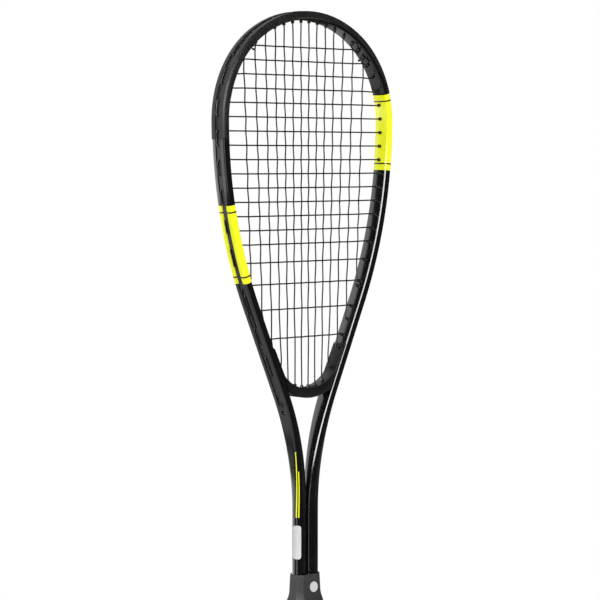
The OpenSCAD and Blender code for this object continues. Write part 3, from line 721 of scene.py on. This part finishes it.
def make_knots():
    """A tight overhand knot at each loose end: a three-lobed curl of string."""
    knots = Mesh()
    places = [knot_place(LEFT * CROSS_S[0], -1), knot_place(RIGHT * CROSS_S[0], -1),
              knot_place(TOP_S[LAST_MAIN], 1), knot_place(FOOT_TIE_S, 1)]
    for place in places:
        loop = []
        for k in range(72):
            a = 2 * math.pi * k / 72
            r = 0.36 * (2 + math.cos(1.5 * 2 * a))
            offset = [r * math.cos(2 * a) * 0.62, 0.45 * math.sin(3 * a), r * math.sin(2 * a) * 0.62]
            loop.append(place + np.array(offset))
        rings = []
        for k in range(72):
            t = unit(loop[(k + 1) % 72] - loop[k - 1])
            across = unit(np.cross([0.1, 1, 0.2], t))
            up = np.cross(t, across)
            rings.append([loop[k] + 0.46 * (across * math.cos(b) - up * math.sin(b))
                          for b in (2 * math.pi * j / 10 for j in range(10))])
        knots.skin(rings, caps=False, closed=True)
    finish_piece(knots.object("tie_off_knots_tied", 80), STRING, "string_black", "tie_off_knots")


# ---- Drilling ----
def rod(mesh, centre, axis, radius, length, sides=20):
    """Adds a closed cylinder, centred at a point, to a mesh."""
    t = unit(axis)
    across = unit(np.cross([0, 1, 0.01], t))
    up = np.cross(t, across)
    ring = [radius * (across * math.cos(a) - up * math.sin(a)) for a in
            (2 * math.pi * k / sides for k in range(sides))]
    mesh.skin([[centre + d * length / 2 * t + q for q in ring] for d in (-1, 1)])


def drill(obj, cutters, sharp_deg=35.0):
    """Cuts the collected rods out of an object's mesh."""
    tool = cutters.object(obj.name + "_drill")
    cut = obj.modifiers.new("drill", "BOOLEAN")
    cut.operation, cut.solver, cut.object = "DIFFERENCE", "MANIFOLD", tool
    drilled = bpy.data.meshes.new_from_object(obj.evaluated_get(bpy.context.evaluated_depsgraph_get()))
    obj.modifiers.remove(cut)
    obj.data = drilled
    drilled.set_sharp_from_angle(angle=math.radians(sharp_deg))
    bpy.data.objects.remove(tool)


def normal_at(s):
    return beside(s, 1) - beside(s, 0)


def places(low, high, step):
    count = max(2, math.ceil((high - low) / step))
    return [mix(low, high, k / count) for k in range(count + 1)]


def sided(side, values):
    """The same places on one half, in the order in which the signed distance grows."""
    return values if side == RIGHT else [-v for v in reversed(values)]


def tube_ring(s, grow, steps=8):
    z = height(s)
    return [beside(s, x, y) for x, y in section(tube_t(z), tube_d(z), tube_r(z), channel(z), grow, steps)]


# ---- Frame, bridge, guard and strips ----
def make_frame():
    half = places(0, S_FOOT, 3)
    frame_skin = Mesh()
    frame_skin.skin([tube_ring(s, 0) for s in sided(LEFT, half)[:-1] + half])
    obj = frame_skin.object("frame_tube_lacquered")
    holes = Mesh()
    for s, _ in HOLES:
        rod(holes, beside(s, 0), normal_at(s), bore_r(s) + 0.55, 2 * HEAD_T)
    for side in (LEFT, RIGHT):
        s = side * z_root(CHANNEL_FOOT_Z - CHANNEL_END_DROP, S_SIDE, S_NECK)
        rod(holes, beside(s, HEAD_T / 2), normal_at(s), CHANNEL_END_R, CHANNEL_END_L, 32)
    drill(obj, holes)
    finish_piece(obj, PAINT, "frame_gloss_black", "frame_tube")


def barrel(mesh, foot, inward, radius, bore, length, sides=24):
    """A grommet's barrel: flared where it leaves the strip, with a rounded lip."""
    flare, lip = 0.45, 0.22
    outline = [(bore, 0), (radius + flare, 0), (radius + flare * 0.35, 0.35 * flare), (radius, flare),
               (radius, length - lip), (radius - 0.3 * lip, length - 0.3 * lip),
               (radius - lip, length), (bore, length)]
    t = unit(inward)
    across = unit(np.cross([0, 1, 0.01], t))
    up = np.cross(t, across)
    rings = [circle(foot + h * t, across, up, r, sides) for r, h in outline]
    mesh.skin(rings, closed=True)


def strip_barrels(mesh, own):
    for s, tip in own:
        rise = HEAD_T / 2 - CHANNEL_DEPTH + STRIP_T / 2
        barrel(mesh, beside(s, rise), -normal_at(s), bore_r(s) + 0.5, bore_r(s), rise + HEAD_T / 2 + tip)


def bores(own):
    cutters = Mesh()
    for s, _ in own:
        rod(cutters, beside(s, HEAD_T / 2), normal_at(s), bore_r(s), 2.4 * HEAD_T)
    return cutters


def join(obj, mesh_collector, name):
    """Adds a second set of closed shells to an object."""
    other = mesh_collector.object(name)
    merged = bmesh.new()
    merged.from_mesh(obj.data)
    merged.from_mesh(other.data)
    merged.to_mesh(obj.data)
    merged.free()
    obj.data.set_sharp_from_angle(angle=math.radians(35))
    bpy.data.objects.remove(other)


def with_barrels(mesh, own, name, material, slot, node):
    obj = mesh.object(name)
    drill(obj, bores(own))
    shells = Mesh()
    strip_barrels(shells, own)
    join(obj, shells, name + "_barrels")
    return finish_piece(obj, material, slot, node)


def guard_profile(s, grow, steps=8):
    """Outer part of the tube's section, from one flange tip round the channel to the other."""
    z = height(s)
    flange = 0.2 + 2.2 * smooth((GUARD_S[LEFT if s < 0 else RIGHT] - abs(s)) / 40)
    full = section(HEAD_T, HEAD_D, HEAD_CORNER_R, channel(z), grow, steps)
    x, y = HEAD_T / 2 - HEAD_CORNER_R - flange, HEAD_D / 2 + grow
    return [(x, -y)] + full[3 * steps + 5 + len(BOW_AT):] + full[:steps + 3] + [(x, y)]


def guard_ring(s, ease):
    """ease thins the guard over its last millimetre, so that its ends are rounded off."""
    outer = guard_profile(s, GUARD_T * ease)
    inner = guard_profile(s, 0.02)
    tip_y = (outer[0][1] + inner[0][1]) / 2
    tip_x = outer[0][0] - 0.3 * ease
    ring = outer[:] + [(tip_x, -tip_y)] + inner[::-1] + [(tip_x, tip_y)]
    return [beside(s, x, y) for x, y in ring]


def make_guard():
    eases = {1.0: 1, 0.7: 1, 0.4: 0.92, 0.15: 0.72, 0.0: 0.3}
    rings = []
    for side in (LEFT, RIGHT):
        end = GUARD_S[side]
        half = [(s, 1) for s in places(0, end - 1, 2.5)[:-1]] + [(end - d, ease) for d, ease in eases.items()]
        part = [guard_ring(side * s, ease) for s, ease in half]
        rings = part[::-1][:-1] if side == LEFT else rings + part
    guard = Mesh()
    guard.skin(rings)
    with_barrels(guard, [h for h in HOLES if in_guard(h[0])], "head_guard_moulded", GUARD,
                 "guard_plastic", "head_guard")


def make_strip(side, name):
    low, high = HEAD_T / 2 - CHANNEL_DEPTH + 0.03, HEAD_T / 2 - CHANNEL_DEPTH + STRIP_T
    w, edge = CHANNEL_HALF_W - 0.3, 0.25
    strip = Mesh()
    ends = places(GUARD_S[side] + 0.3, STRIP_FOOT_S, 2.5)
    strip.skin([[beside(s, x, y) for x, y in ((high - edge, w), (high, w - edge), (high, edge - w),
                                              (high - edge, -w), (low, -w), (low, w))][::-1]
                for s in sided(side, ends)])
    own = [h for h in HOLES if not in_guard(h[0]) and (h[0] > 0) == (side == RIGHT)]
    with_barrels(strip, own, name + "_moulded", GROMMET, "grommet_plastic", name)


LEG_NORMAL = beside(S_STRAIGHT, 1) - beside(S_STRAIGHT, 0)
LEG_FACE = beside(S_STRAIGHT, -HEAD_T / 2 - FIT)
BRIDGE_CENTRE = np.array([0, 0, BRIDGE_Z])
ARM_TOP_Z, ARM_ROOT_Z, ARM_ROOT_T, ARM_TOP_T = 392.0, 362.0, 2.2, 0.8


def leg_distance(phi):
    """From the bridge's centre to the leg's inner face, phi away from straight down."""
    way = np.array([math.sin(abs(phi)), 0, -math.cos(abs(phi))])
    return float(LEG_NORMAL @ (LEG_FACE - BRIDGE_CENTRE)) / float(LEG_NORMAL @ way)


def soft_max(a, b, k):
    h = max(k - abs(a - b), 0) / k
    return max(a, b) + h * h * k / 4


def bridge_ring(phi):
    reach = leg_distance(phi)
    outer = min(BRIDGE_FOOT_R, reach)
    arm_z = BRIDGE_Z - reach * math.cos(phi)
    arm_t = mix(ARM_ROOT_T, ARM_TOP_T, min(max((arm_z - ARM_ROOT_Z) / (ARM_TOP_Z - ARM_ROOT_Z), 0), 1))
    ring_t = outer - BRIDGE_R if abs(phi) < math.radians(66) else 0
    thick = soft_max(ring_t, arm_t, 0.6)
    groove = min(BRIDGE_GROOVE, max(0, outer - (BRIDGE_FOOT_R - BRIDGE_GROOVE)))
    mid = outer - thick / 2
    ring = section(thick, BRIDGE_D, min(1.7, 0.42 * thick), groove, 0, 6)
    way = np.array([math.sin(phi), 0, -math.cos(phi)])
    return [BRIDGE_CENTRE + (mid + x) * way + np.array([0, y, 0]) for x, y in ring]


def make_bridge():
    top = root(lambda p: BRIDGE_Z - leg_distance(p) * math.cos(p) - ARM_TOP_Z, 0.9, 1.56)
    corner = root(lambda p: leg_distance(p) - BRIDGE_FOOT_R, 0.3, 0.9)
    half = places(0, corner, 0.03)[:-1] + places(corner, top, 0.03)
    bridge = Mesh()
    bridge.skin([bridge_ring(p) for p in [-p for p in reversed(half)][:-1] + half][::-1])
    obj = bridge.object("throat_bridge_moulded")
    cutters = Mesh()
    for side in (LEFT, RIGHT):
        for n in range(BRIDGE_MAINS):
            rod(cutters, np.array([side * bridge_x(n), 0, BRIDGE_TOP_Z - 4]), [0, 0, 1], BRIDGE_BORE_R, 40)
        for n in (BRIDGE_MAINS, BRIDGE_MAINS + 1):
            rod(cutters, beside(side * FOOT_S[n], 0), normal_at(side * FOOT_S[n]), BRIDGE_BORE_R, 6 * HEAD_T)
    drill(obj, cutters)
    finish_piece(obj, BRIDGE, "bridge_plastic", "throat_bridge")


def make_bridge_grommets():
    seat = BRIDGE_FOOT_R - BRIDGE_GROOVE + FIT
    half_w, edge, half_x = 2.65, 0.25, 24.3
    reach = math.asin(half_x / (seat + STRIP_T))
    strip = Mesh()
    rings = []
    for phi in places(-reach, reach, 0.03):
        way = np.array([math.sin(phi), 0, -math.cos(phi)])
        top = seat + STRIP_T - FIT
        rings.append([BRIDGE_CENTRE + r * way + np.array([0, y, 0]) for r, y in
                      ((seat, -half_w), (top - edge, -half_w), (top, edge - half_w), (top, half_w - edge),
                       (top - edge, half_w), (seat, half_w))])
    strip.skin(rings[::-1])
    obj = strip.object("bridge_grommets_moulded")
    cutters, shells = Mesh(), Mesh()
    for side in (LEFT, RIGHT):
        for n in range(BRIDGE_MAINS):
            x = side * bridge_x(n)
            low = arc_z(seat + STRIP_T / 2, x)
            rod(cutters, np.array([x, 0, low]), [0, 0, 1], 1.0, 8)
            barrel(shells, np.array([x, 0, low]), [0, 0, 1], 1.5, 1.0, bridge_upper_z(n) - low)
    drill(obj, cutters)
    join(obj, shells, "bridge_barrels")
    finish_piece(obj, GROMMET, "grommet_plastic", "bridge_grommets")


# ---- Printed bands and decals ----
STRIPE_INSET, STRIPE_W = 5.3, 1.3


def band(mesh, side, start, end, low, high, step=3):
    """A thin closed sleeve round the tube."""
    along = sided(side, places(start, end, step))
    edge = 0.35 * (high - low)
    outer = [tube_ring(s, high) for s in along]
    outer[0], outer[-1] = tube_ring(along[0], high - edge), tube_ring(along[-1], high - edge)
    mesh.skin(outer + [tube_ring(s, low) for s in reversed(along)], closed=True)


def make_bands():
    for side, node in ((LEFT, "yellow_band_left"), (RIGHT, "yellow_band_right")):
        sleeve = Mesh()
        band(sleeve, side, band_foot(side) - BAND_L, band_foot(side), -0.1, 0.07)
        finish_piece(sleeve.object(node + "_print"), NEON, "neon_yellow", node)
    stripes = Mesh()
    for side in (LEFT, RIGHT):
        foot = band_foot(side)
        for start in (foot - BAND_L + STRIPE_INSET, foot - STRIPE_INSET - STRIPE_W):
            band(stripes, side, start, start + STRIPE_W, 0.03, 0.2, 0.6)
    finish_piece(stripes.object("band_pinstripes_print"), PINSTRIPE, "pinstripe_black", "band_pinstripes")


def skin_point(s, degrees, grow):
    """On the tube's skin: 0 degrees looks outwards and -90 to the front."""
    z, a = height(s), math.radians(degrees)
    r, front = tube_r(z), -1 if degrees < 0 else 1
    return beside(s, tube_t(z) / 2 - r + (r + grow) * math.cos(a),
                  front * (tube_d(z) / 2 - r) * min(1, abs(degrees) / 8) + (r + grow) * math.sin(a))


def leg_film(mesh, low_z, high_z, from_a, to_a, thick, corner, with_uv=False):
    """A thin film with rounded corners on the outer side of the left leg."""
    columns, rows = 28, 24
    arc = math.radians(to_a - from_a) * SHAFT_R
    rings = []
    for k in range(columns + 1):
        u = k / columns
        gap = max(0, corner - min(u, 1 - u) * arc)
        inset = corner - math.sqrt(max(corner * corner - gap * gap, 0))
        line = [-z_root(mix(low_z + inset, high_z - inset, v / rows), S_SIDE, S_FOOT)
                for v in range(rows + 1)]
        angle = mix(from_a, to_a, u)
        rings.append([skin_point(s, angle, thick) for s in line]
                     + [skin_point(s, angle, 0.01) for s in reversed(line)])
    uv = (lambda i, k: (i / columns, min(k, 2 * rows + 1 - k) / rows)) if with_uv else None
    mesh.skin(rings[::-1], uv=uv)


def make_decals():
    film = Mesh()
    leg_film(film, 203, 233, -73, 6, 0.12, 2.4, True)
    finish_piece(film.object("shaft_label_film", 40, True), LABEL, "label_white", "shaft_label")
    accent = Mesh()
    leg_film(accent, 240, 300, -34, -22, 0.08, 0.5)
    leg_film(accent, 240, 282, -56, -46, 0.08, 0.4)
    finish_piece(accent.object("shaft_accent_print", 40), NEON, "neon_yellow", "shaft_accent")


# ---- Handle ----
def octagon(hw, hd, cut, r=1.2, steps=6):
    """Octagon with rounded corners, anticlockwise from the +x side."""
    corners = [(hw, hd - cut), (hw - cut, hd), (cut - hw, hd), (-hw, hd - cut),
               (-hw, cut - hd), (cut - hw, -hd), (hw - cut, -hd), (hw, cut - hd)]
    ring = []
    for k, corner in enumerate(corners):
        mid = math.radians(22.5 + 45 * k)
        depth = r / math.cos(math.radians(22.5))
        centre = (corner[0] - depth * math.cos(mid), corner[1] - depth * math.sin(mid))
        for j in range(steps + 1):
            a = mid + math.radians(-22.5 + 45 * j / steps)
            ring.append((centre[0] + r * math.cos(a), centre[1] + r * math.sin(a)))
    return ring


def level(z, *shape, **more):
    return [np.array([x, y, z]) for x, y in octagon(*shape, **more)]


PALLET_W, PALLET_D, BEVEL, WRAP_T = 14.7, 11.4, 5.0, 1.7
CAP_TOP_Z, HANDLE_TOP_Z, CAP_FLOOR = 16.0, 156.0, 3.0
TAPE_FOOT_Z, TAPE_W = 134.0, 19.0
COLLAR_TOP_Z, SHOULDER_Z, WAIST_Z = 189.0, 157.0, 171.0
BADGE_X, BADGE_Z, WAIST_W, WAIST_D, RIM_W, RIM_D = 1.9, 177.5, 14.6, 9.9, 14.2, 9.0


def make_grip():
    """A wrap wound up the handle: each turn thins out over its lower edge, which covers the turn below."""
    pitch, hole_gap, sides = 21.6, 3.6, 8
    girth = 2 * (PALLET_W - BEVEL) * 2 + 2 * (PALLET_D - BEVEL) * 2 + 4 * BEVEL * math.sqrt(2)
    holes_round = round(girth / hole_gap)
    rows = places(CAP_TOP_Z + FIT, HANDLE_TOP_Z, 0.6)
    base = octagon(PALLET_W, PALLET_D, BEVEL, 2.0, sides)
    m = len(base)
    run = [0.0]
    for k in range(m):
        a, b = base[k], base[(k + 1) % m]
        run.append(run[-1] + math.hypot(b[0] - a[0], b[1] - a[1]))
    share = [r / run[-1] for r in run]

    def thickness(z, u):
        across = ((z - pitch * u) / pitch) % 1.0
        lap = smooth(min(across / 0.035, 1)) * (1 - smooth((across - 0.86) / 0.14) * 0.15)
        cushion = 0.12 * math.sin(math.pi * min(across / 0.9, 1))
        return WRAP_T - 0.34 + 0.26 * lap + cushion

    grip = Mesh()
    rings = []
    for z in rows:
        ring = []
        for k in range(m):
            mid = math.floor(k / (sides + 1))
            a = math.radians(45 * mid + 45 * (k - mid * (sides + 1)) / sides)
            t = thickness(z, share[k])
            ring.append(np.array([base[k][0] + t * math.cos(a), base[k][1] + t * math.sin(a), z]))
        rings.append(ring)
    # Rings run downwards, so that they are anticlockwise about the way back
    rings, heights = rings[::-1], rows[::-1]
    grip.skin(rings, uv=lambda i, k: (share[k] * holes_round, (heights[i] - pitch * share[k]) / hole_gap))
    finish_piece(grip.object("grip_wrap_wound", 50, True), GRIP, "grip_pu", "grip_wrap")


def make_tape():
    low, high, grow = TAPE_FOOT_Z, TAPE_FOOT_Z + TAPE_W, WRAP_T + 0.22
    tape = Mesh()
    outer = [(low, grow - 0.2), (low, grow), (low + 0.2, grow + 0.08),
             (high - 0.2, grow + 0.08), (high, grow), (high, grow - 0.2)]
    tape.skin([level(z, PALLET_W + g, PALLET_D + g, BEVEL + 0.2, r=3.0) for z, g in reversed(outer)])
    finish_piece(tape.object("grip_finishing_tape_wound", 50), TAPE, "finishing_tape", "grip_finishing_tape")


def make_butt_cap():
    """Flared cap with rounded edges; its end has a shallow round recess for the badge."""
    cap = Mesh()
    outer = [(CAP_TOP_Z - 0.3, 16.4, 13.1, 5.5), (CAP_TOP_Z, 16.7, 13.4, 5.5),
             (CAP_TOP_Z - 0.5, 16.9, 13.6, 5.5), (11.5, 17.45, 14.15, 5.7), (7, 18.0, 14.7, 5.9),
             (3.6, 18.25, 14.95, 6), (2.6, 18.25, 14.95, 6),
             (1.6, 18.05, 14.75, 6), (0.7, 17.6, 14.3, 6), (0.15, 16.95, 13.65, 5.9), (0, 16.2, 12.9, 5.8)]
    inner_top = (CAP_TOP_Z - 0.3, 15.2, 11.9, 5.1)
    floor_in = (CAP_FLOOR, 14.9, 11.6, 5.0)
    rings = [level(z, hw, hd, cut, r=2.2) for z, hw, hd, cut in [floor_in, inner_top] + outer]
    for z, radius in ((0, 10.2), (0.12, 10.0), (0.8, 9.95)):
        circle = []
        for x, y in octagon(16.2, 12.9, 5.8, 2.2):
            a = math.atan2(y, x)
            circle.append(np.array([radius * math.cos(a), radius * math.sin(a), z]))
        rings.append(circle)
    cap.skin(rings)
    finish_piece(cap.object("butt_cap_moulded", 40), BUTT, "butt_plastic", "butt_cap")


def disc(mesh, centre, axis, outline, sides=64):
    """A lathed disc: outline lists (radius, height along the axis) from its back to its face."""
    t = unit(axis)
    across = unit(np.cross([0.01, 1, 0.02], t) if abs(t[1]) < 0.9 else np.cross([1, 0, 0.01], t))
    up = np.cross(t, across)
    mesh.skin([circle(centre + h * t, across, up, r, sides) for r, h in outline])


def make_badges():
    end = Mesh()
    disc(end, np.array([0, 0, 0.79]), [0, 0, -1],
         [(9.9, 0), (9.9, 0.5), (9.75, 0.63), (9.4, 0.68), (8.4, 0.68), (8.25, 0.6), (7.9, 0.6), (7.75, 0.68),
          (3.0, 0.69), (0.4, 0.69)])
    finish_piece(end.object("butt_badge_disc", 40), BADGE_GREY, "badge_grey", "butt_badge")
    slope = math.atan2(WAIST_D - RIM_D, COLLAR_TOP_Z - WAIST_Z)
    centre = np.array([BADGE_X, -WAIST_D + (BADGE_Z - WAIST_Z) * math.tan(slope), BADGE_Z])
    dome = [(4.7, -0.2), (4.7, 0.22), (4.58, 0.36), (4.3, 0.45), (3.9, 0.5), (2.7, 0.56),
            (1.4, 0.6), (0.3, 0.61)]
    badge = Mesh()
    disc(badge, centre, [0, -math.cos(slope), math.sin(slope)], dome)
    finish_piece(badge.object("collar_badge_domed", 40), BADGE_WHITE, "badge_white", "collar_badge")


COLLAR_LEVELS = [(142, 17.7, 14.4, 5.4), (SHOULDER_Z, 17.5, 14.2, 5.4), (WAIST_Z, WAIST_W, WAIST_D, 5.0),
                 (COLLAR_TOP_Z, RIM_W, RIM_D, 5.0)]


def collar_shape(z):
    """Half width, half depth and bevel at a height, with the bends eased over a few millimetres."""
    def at(h):
        h = min(max(h, 142), COLLAR_TOP_Z)
        for low, high in zip(COLLAR_LEVELS, COLLAR_LEVELS[1:]):
            if h <= high[0]:
                u = (h - low[0]) / (high[0] - low[0])
                return np.array([mix(a, b, u) for a, b in zip(low[1:], high[1:])])
    reach = min(3.0, z - 142, COLLAR_TOP_Z - z)
    return sum(at(z + reach * d / 4) for d in range(-4, 5)) / 9


def make_collar():
    """Moulded collar with a cavity over the grip's end and a rolled rim."""
    rings = [level(HANDLE_TOP_Z, 16.7, 13.4, 5, r=1.0), level(142.5, 16.75, 13.45, 5, r=1.0),
             level(142.1, 16.9, 13.6, 5.05, r=1.0)]
    for z, inset in ((142.0, 0.4), (142.1, 0.2), (142.5, 0.0)):
        hw, hd, cut = collar_shape(142.0)
        rings.append(level(z, hw - inset, hd - inset, cut - 0.3 * inset, r=1.3))
    for z in places(143, COLLAR_TOP_Z - 1.3, 1.2):
        rings.append(level(z, *collar_shape(z), r=1.3))
    hw, hd, cut = collar_shape(COLLAR_TOP_Z - 1)
    for z, inset in ((188.2, 0.04), (188.55, 0.14), (188.8, 0.28), (188.95, 0.46), (189.0, 0.66),
                     (188.9, 0.9), (188.6, 1.05), (187.6, 1.15)):
        rings.append(level(z, hw - inset, hd - inset, cut - 0.3 * inset, r=1.3))
    collar = Mesh()
    collar.skin(rings[::-1])
    finish_piece(collar.object("grip_collar_moulded", 50), RUBBER, "collar_rubber", "grip_collar")


make_frame()
make_bridge()
make_guard()
make_strip(LEFT, "grommet_strip_left")
make_strip(RIGHT, "grommet_strip_right")
make_bridge_grommets()
make_string("main_string", main_half(LEFT)[::-1] + main_half(RIGHT))
make_string("cross_string", cross_route())
make_knots()
make_bands()
make_decals()
make_grip()
make_tape()
make_butt_cap()
make_badges()
make_collar()
for node in ("handle_pallet_front", "handle_pallet_back"):
    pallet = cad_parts[node]
    for place in pallet.material_slots:
        place.material = PALLET

# ---- Camera, light and floor ----
scene = bpy.context.scene
scene.view_settings.view_transform = "Standard"
scene.view_settings.look = "None"

VIEW_AZ = math.radians(43.0)
CAMERA_D, CAMERA_Z, LENS = 1.975, 0.556, 134.3
AIM_SIDE, AIM_Z = -0.00432, 0.4324

camera_data = bpy.data.cameras.new("camera")
camera_data.lens, camera_data.sensor_width = LENS, 36.0
camera = bpy.data.objects.new("camera", camera_data)
scene.collection.objects.link(camera)
camera.location = (-CAMERA_D * math.sin(VIEW_AZ), -CAMERA_D * math.cos(VIEW_AZ), CAMERA_Z)
aim = Vector((AIM_SIDE * math.cos(VIEW_AZ), -AIM_SIDE * math.sin(VIEW_AZ), AIM_Z))
camera.rotation_euler = (aim - camera.location).to_track_quat("-Z", "Y").to_euler()
scene.camera = camera


def panel(name, place, target, size, watts):
    """A soft rectangular light whose own reflection is hidden."""
    data = bpy.data.lights.new(name, "AREA")
    data.shape, data.size, data.size_y, data.energy = "RECTANGLE", *size, watts
    lamp = bpy.data.objects.new(name, data)
    scene.collection.objects.link(lamp)
    lamp.location = place
    lamp.rotation_euler = (Vector(target) - Vector(place)).to_track_quat("-Z", "Y").to_euler()
    lamp.visible_glossy = False
    lamp.visible_camera = False
    return lamp


HEAD = (0, 0, 0.5)
panel("key_left", (-2.4, -1.5, 0.8), HEAD, (1.2, 1.6), 30)
panel("fill_front", (0.6, -2.6, 0.7), HEAD, (1.6, 1.8), 36)

world = bpy.data.worlds.new("studio")
scene.world = world
world.cycles.sampling_method = "NONE"
world.use_nodes = True
tree = world.node_tree
tree.nodes.clear()


def world_node(kind, **values):
    node = tree.nodes.new(kind)
    for key, value in values.items():
        setattr(node, key, value)
    return node


output = world_node("ShaderNodeOutputWorld")
backdrop, studio = world_node("ShaderNodeBackground"), world_node("ShaderNodeBackground")
backdrop.inputs["Color"].default_value = (1, 1, 1, 1)
backdrop.inputs["Strength"].default_value = 1.0


def world_math(operation, *values):
    node = world_node("ShaderNodeMath", operation=operation)
    for socket, value in zip(node.inputs, values):
        if isinstance(value, (int, float)):
            socket.default_value = value
        else:
            tree.links.new(value, socket)
    return node.outputs[0]


def window(value, low, high, soft):
    """1 between low and high, easing to 0 over soft degrees outside them."""
    out = 1.0
    for edge, sign in ((low, 1), (high, -1)):
        ease = world_node("ShaderNodeMapRange", interpolation_type="SMOOTHSTEP")
        ease.inputs["From Min"].default_value = edge - sign * soft
        ease.inputs["From Max"].default_value = edge
        tree.links.new(value, ease.inputs["Value"])
        out = world_math("MULTIPLY", ease.outputs["Result"], out)
    return out


direction = world_node("ShaderNodeTexCoord")
ray = world_node("ShaderNodeSeparateXYZ")
tree.links.new(direction.outputs["Generated"], ray.inputs["Vector"])
turned = world_math("ARCTAN2", ray.outputs["Y"], ray.outputs["X"])
azimuth = world_math("FLOORED_MODULO", world_math("MULTIPLY", turned, 180 / math.pi), 360.0)
elevation = world_math("MULTIPLY", world_math("ARCSINE", ray.outputs["Z"]), 180 / math.pi)
# Bright patches that only reflections see, placed where the photo's highlights call for them.
# Each one: azimuth from, to, softness; elevation from, to, softness; brightness
PATCHES = [(56, 126, 7, -14, 50, 10, 1.25), (60, 205, 12, -90, -27, 6, 0.48),
           (162, 220, 3, 9, 36, 6, 13.0), (314, 340, 3, -40, -14, 3, 1.0),
           (60, 162, 4, -12, -2, 3, 1.3), (194, 206, 3, -14, -2, 3, 2.0)]
# Even light that only matte surfaces see, in place of the patches
AMBIENT = 0.60
total = 0.02
for az0, az1, az_soft, el0, el1, el_soft, bright in PATCHES:
    lit = world_math("MULTIPLY", window(azimuth, az0, az1, az_soft), window(elevation, el0, el1, el_soft))
    total = world_math("ADD", world_math("MULTIPLY", lit, bright), total)
studio.inputs["Color"].default_value = (1, 1, 1, 1)
rays = world_node("ShaderNodeLightPath")
is_matte = rays.outputs["Is Diffuse Ray"]
shown = world_math("MULTIPLY", total, world_math("SUBTRACT", 1.0, is_matte))
ambient = world_math("MULTIPLY", is_matte, AMBIENT)
tree.links.new(world_math("ADD", shown, ambient), studio.inputs["Strength"])
blend_world = world_node("ShaderNodeMixShader")
tree.links.new(rays.outputs["Is Camera Ray"], blend_world.inputs["Fac"])
tree.links.new(studio.outputs["Background"], blend_world.inputs[1])
tree.links.new(backdrop.outputs["Background"], blend_world.inputs[2])
tree.links.new(blend_world.outputs["Shader"], output.inputs["Surface"])

FLOOR_R = 0.8
floor_mesh = bmesh.new()
bmesh.ops.create_circle(floor_mesh, cap_ends=True, radius=FLOOR_R, segments=128)
floor_data = bpy.data.meshes.new("floor")
floor_mesh.to_mesh(floor_data)
floor_mesh.free()
floor = bpy.data.objects.new("floor", floor_data)
scene.collection.objects.link(floor)
floor.location.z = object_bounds()[0][2] - 0.0005
paper = Shader("floor_paper")
pale = paper.ramp(paper.noise(6), (0.3, (0.86, 0.86, 0.86)), (0.7, (0.9, 0.9, 0.9)))
paper.link(pale, paper.bsdf.inputs["Base Color"])
paper.set(Roughness=0.9)
floor_data.materials.append(paper.material)
floor.visible_glossy = False
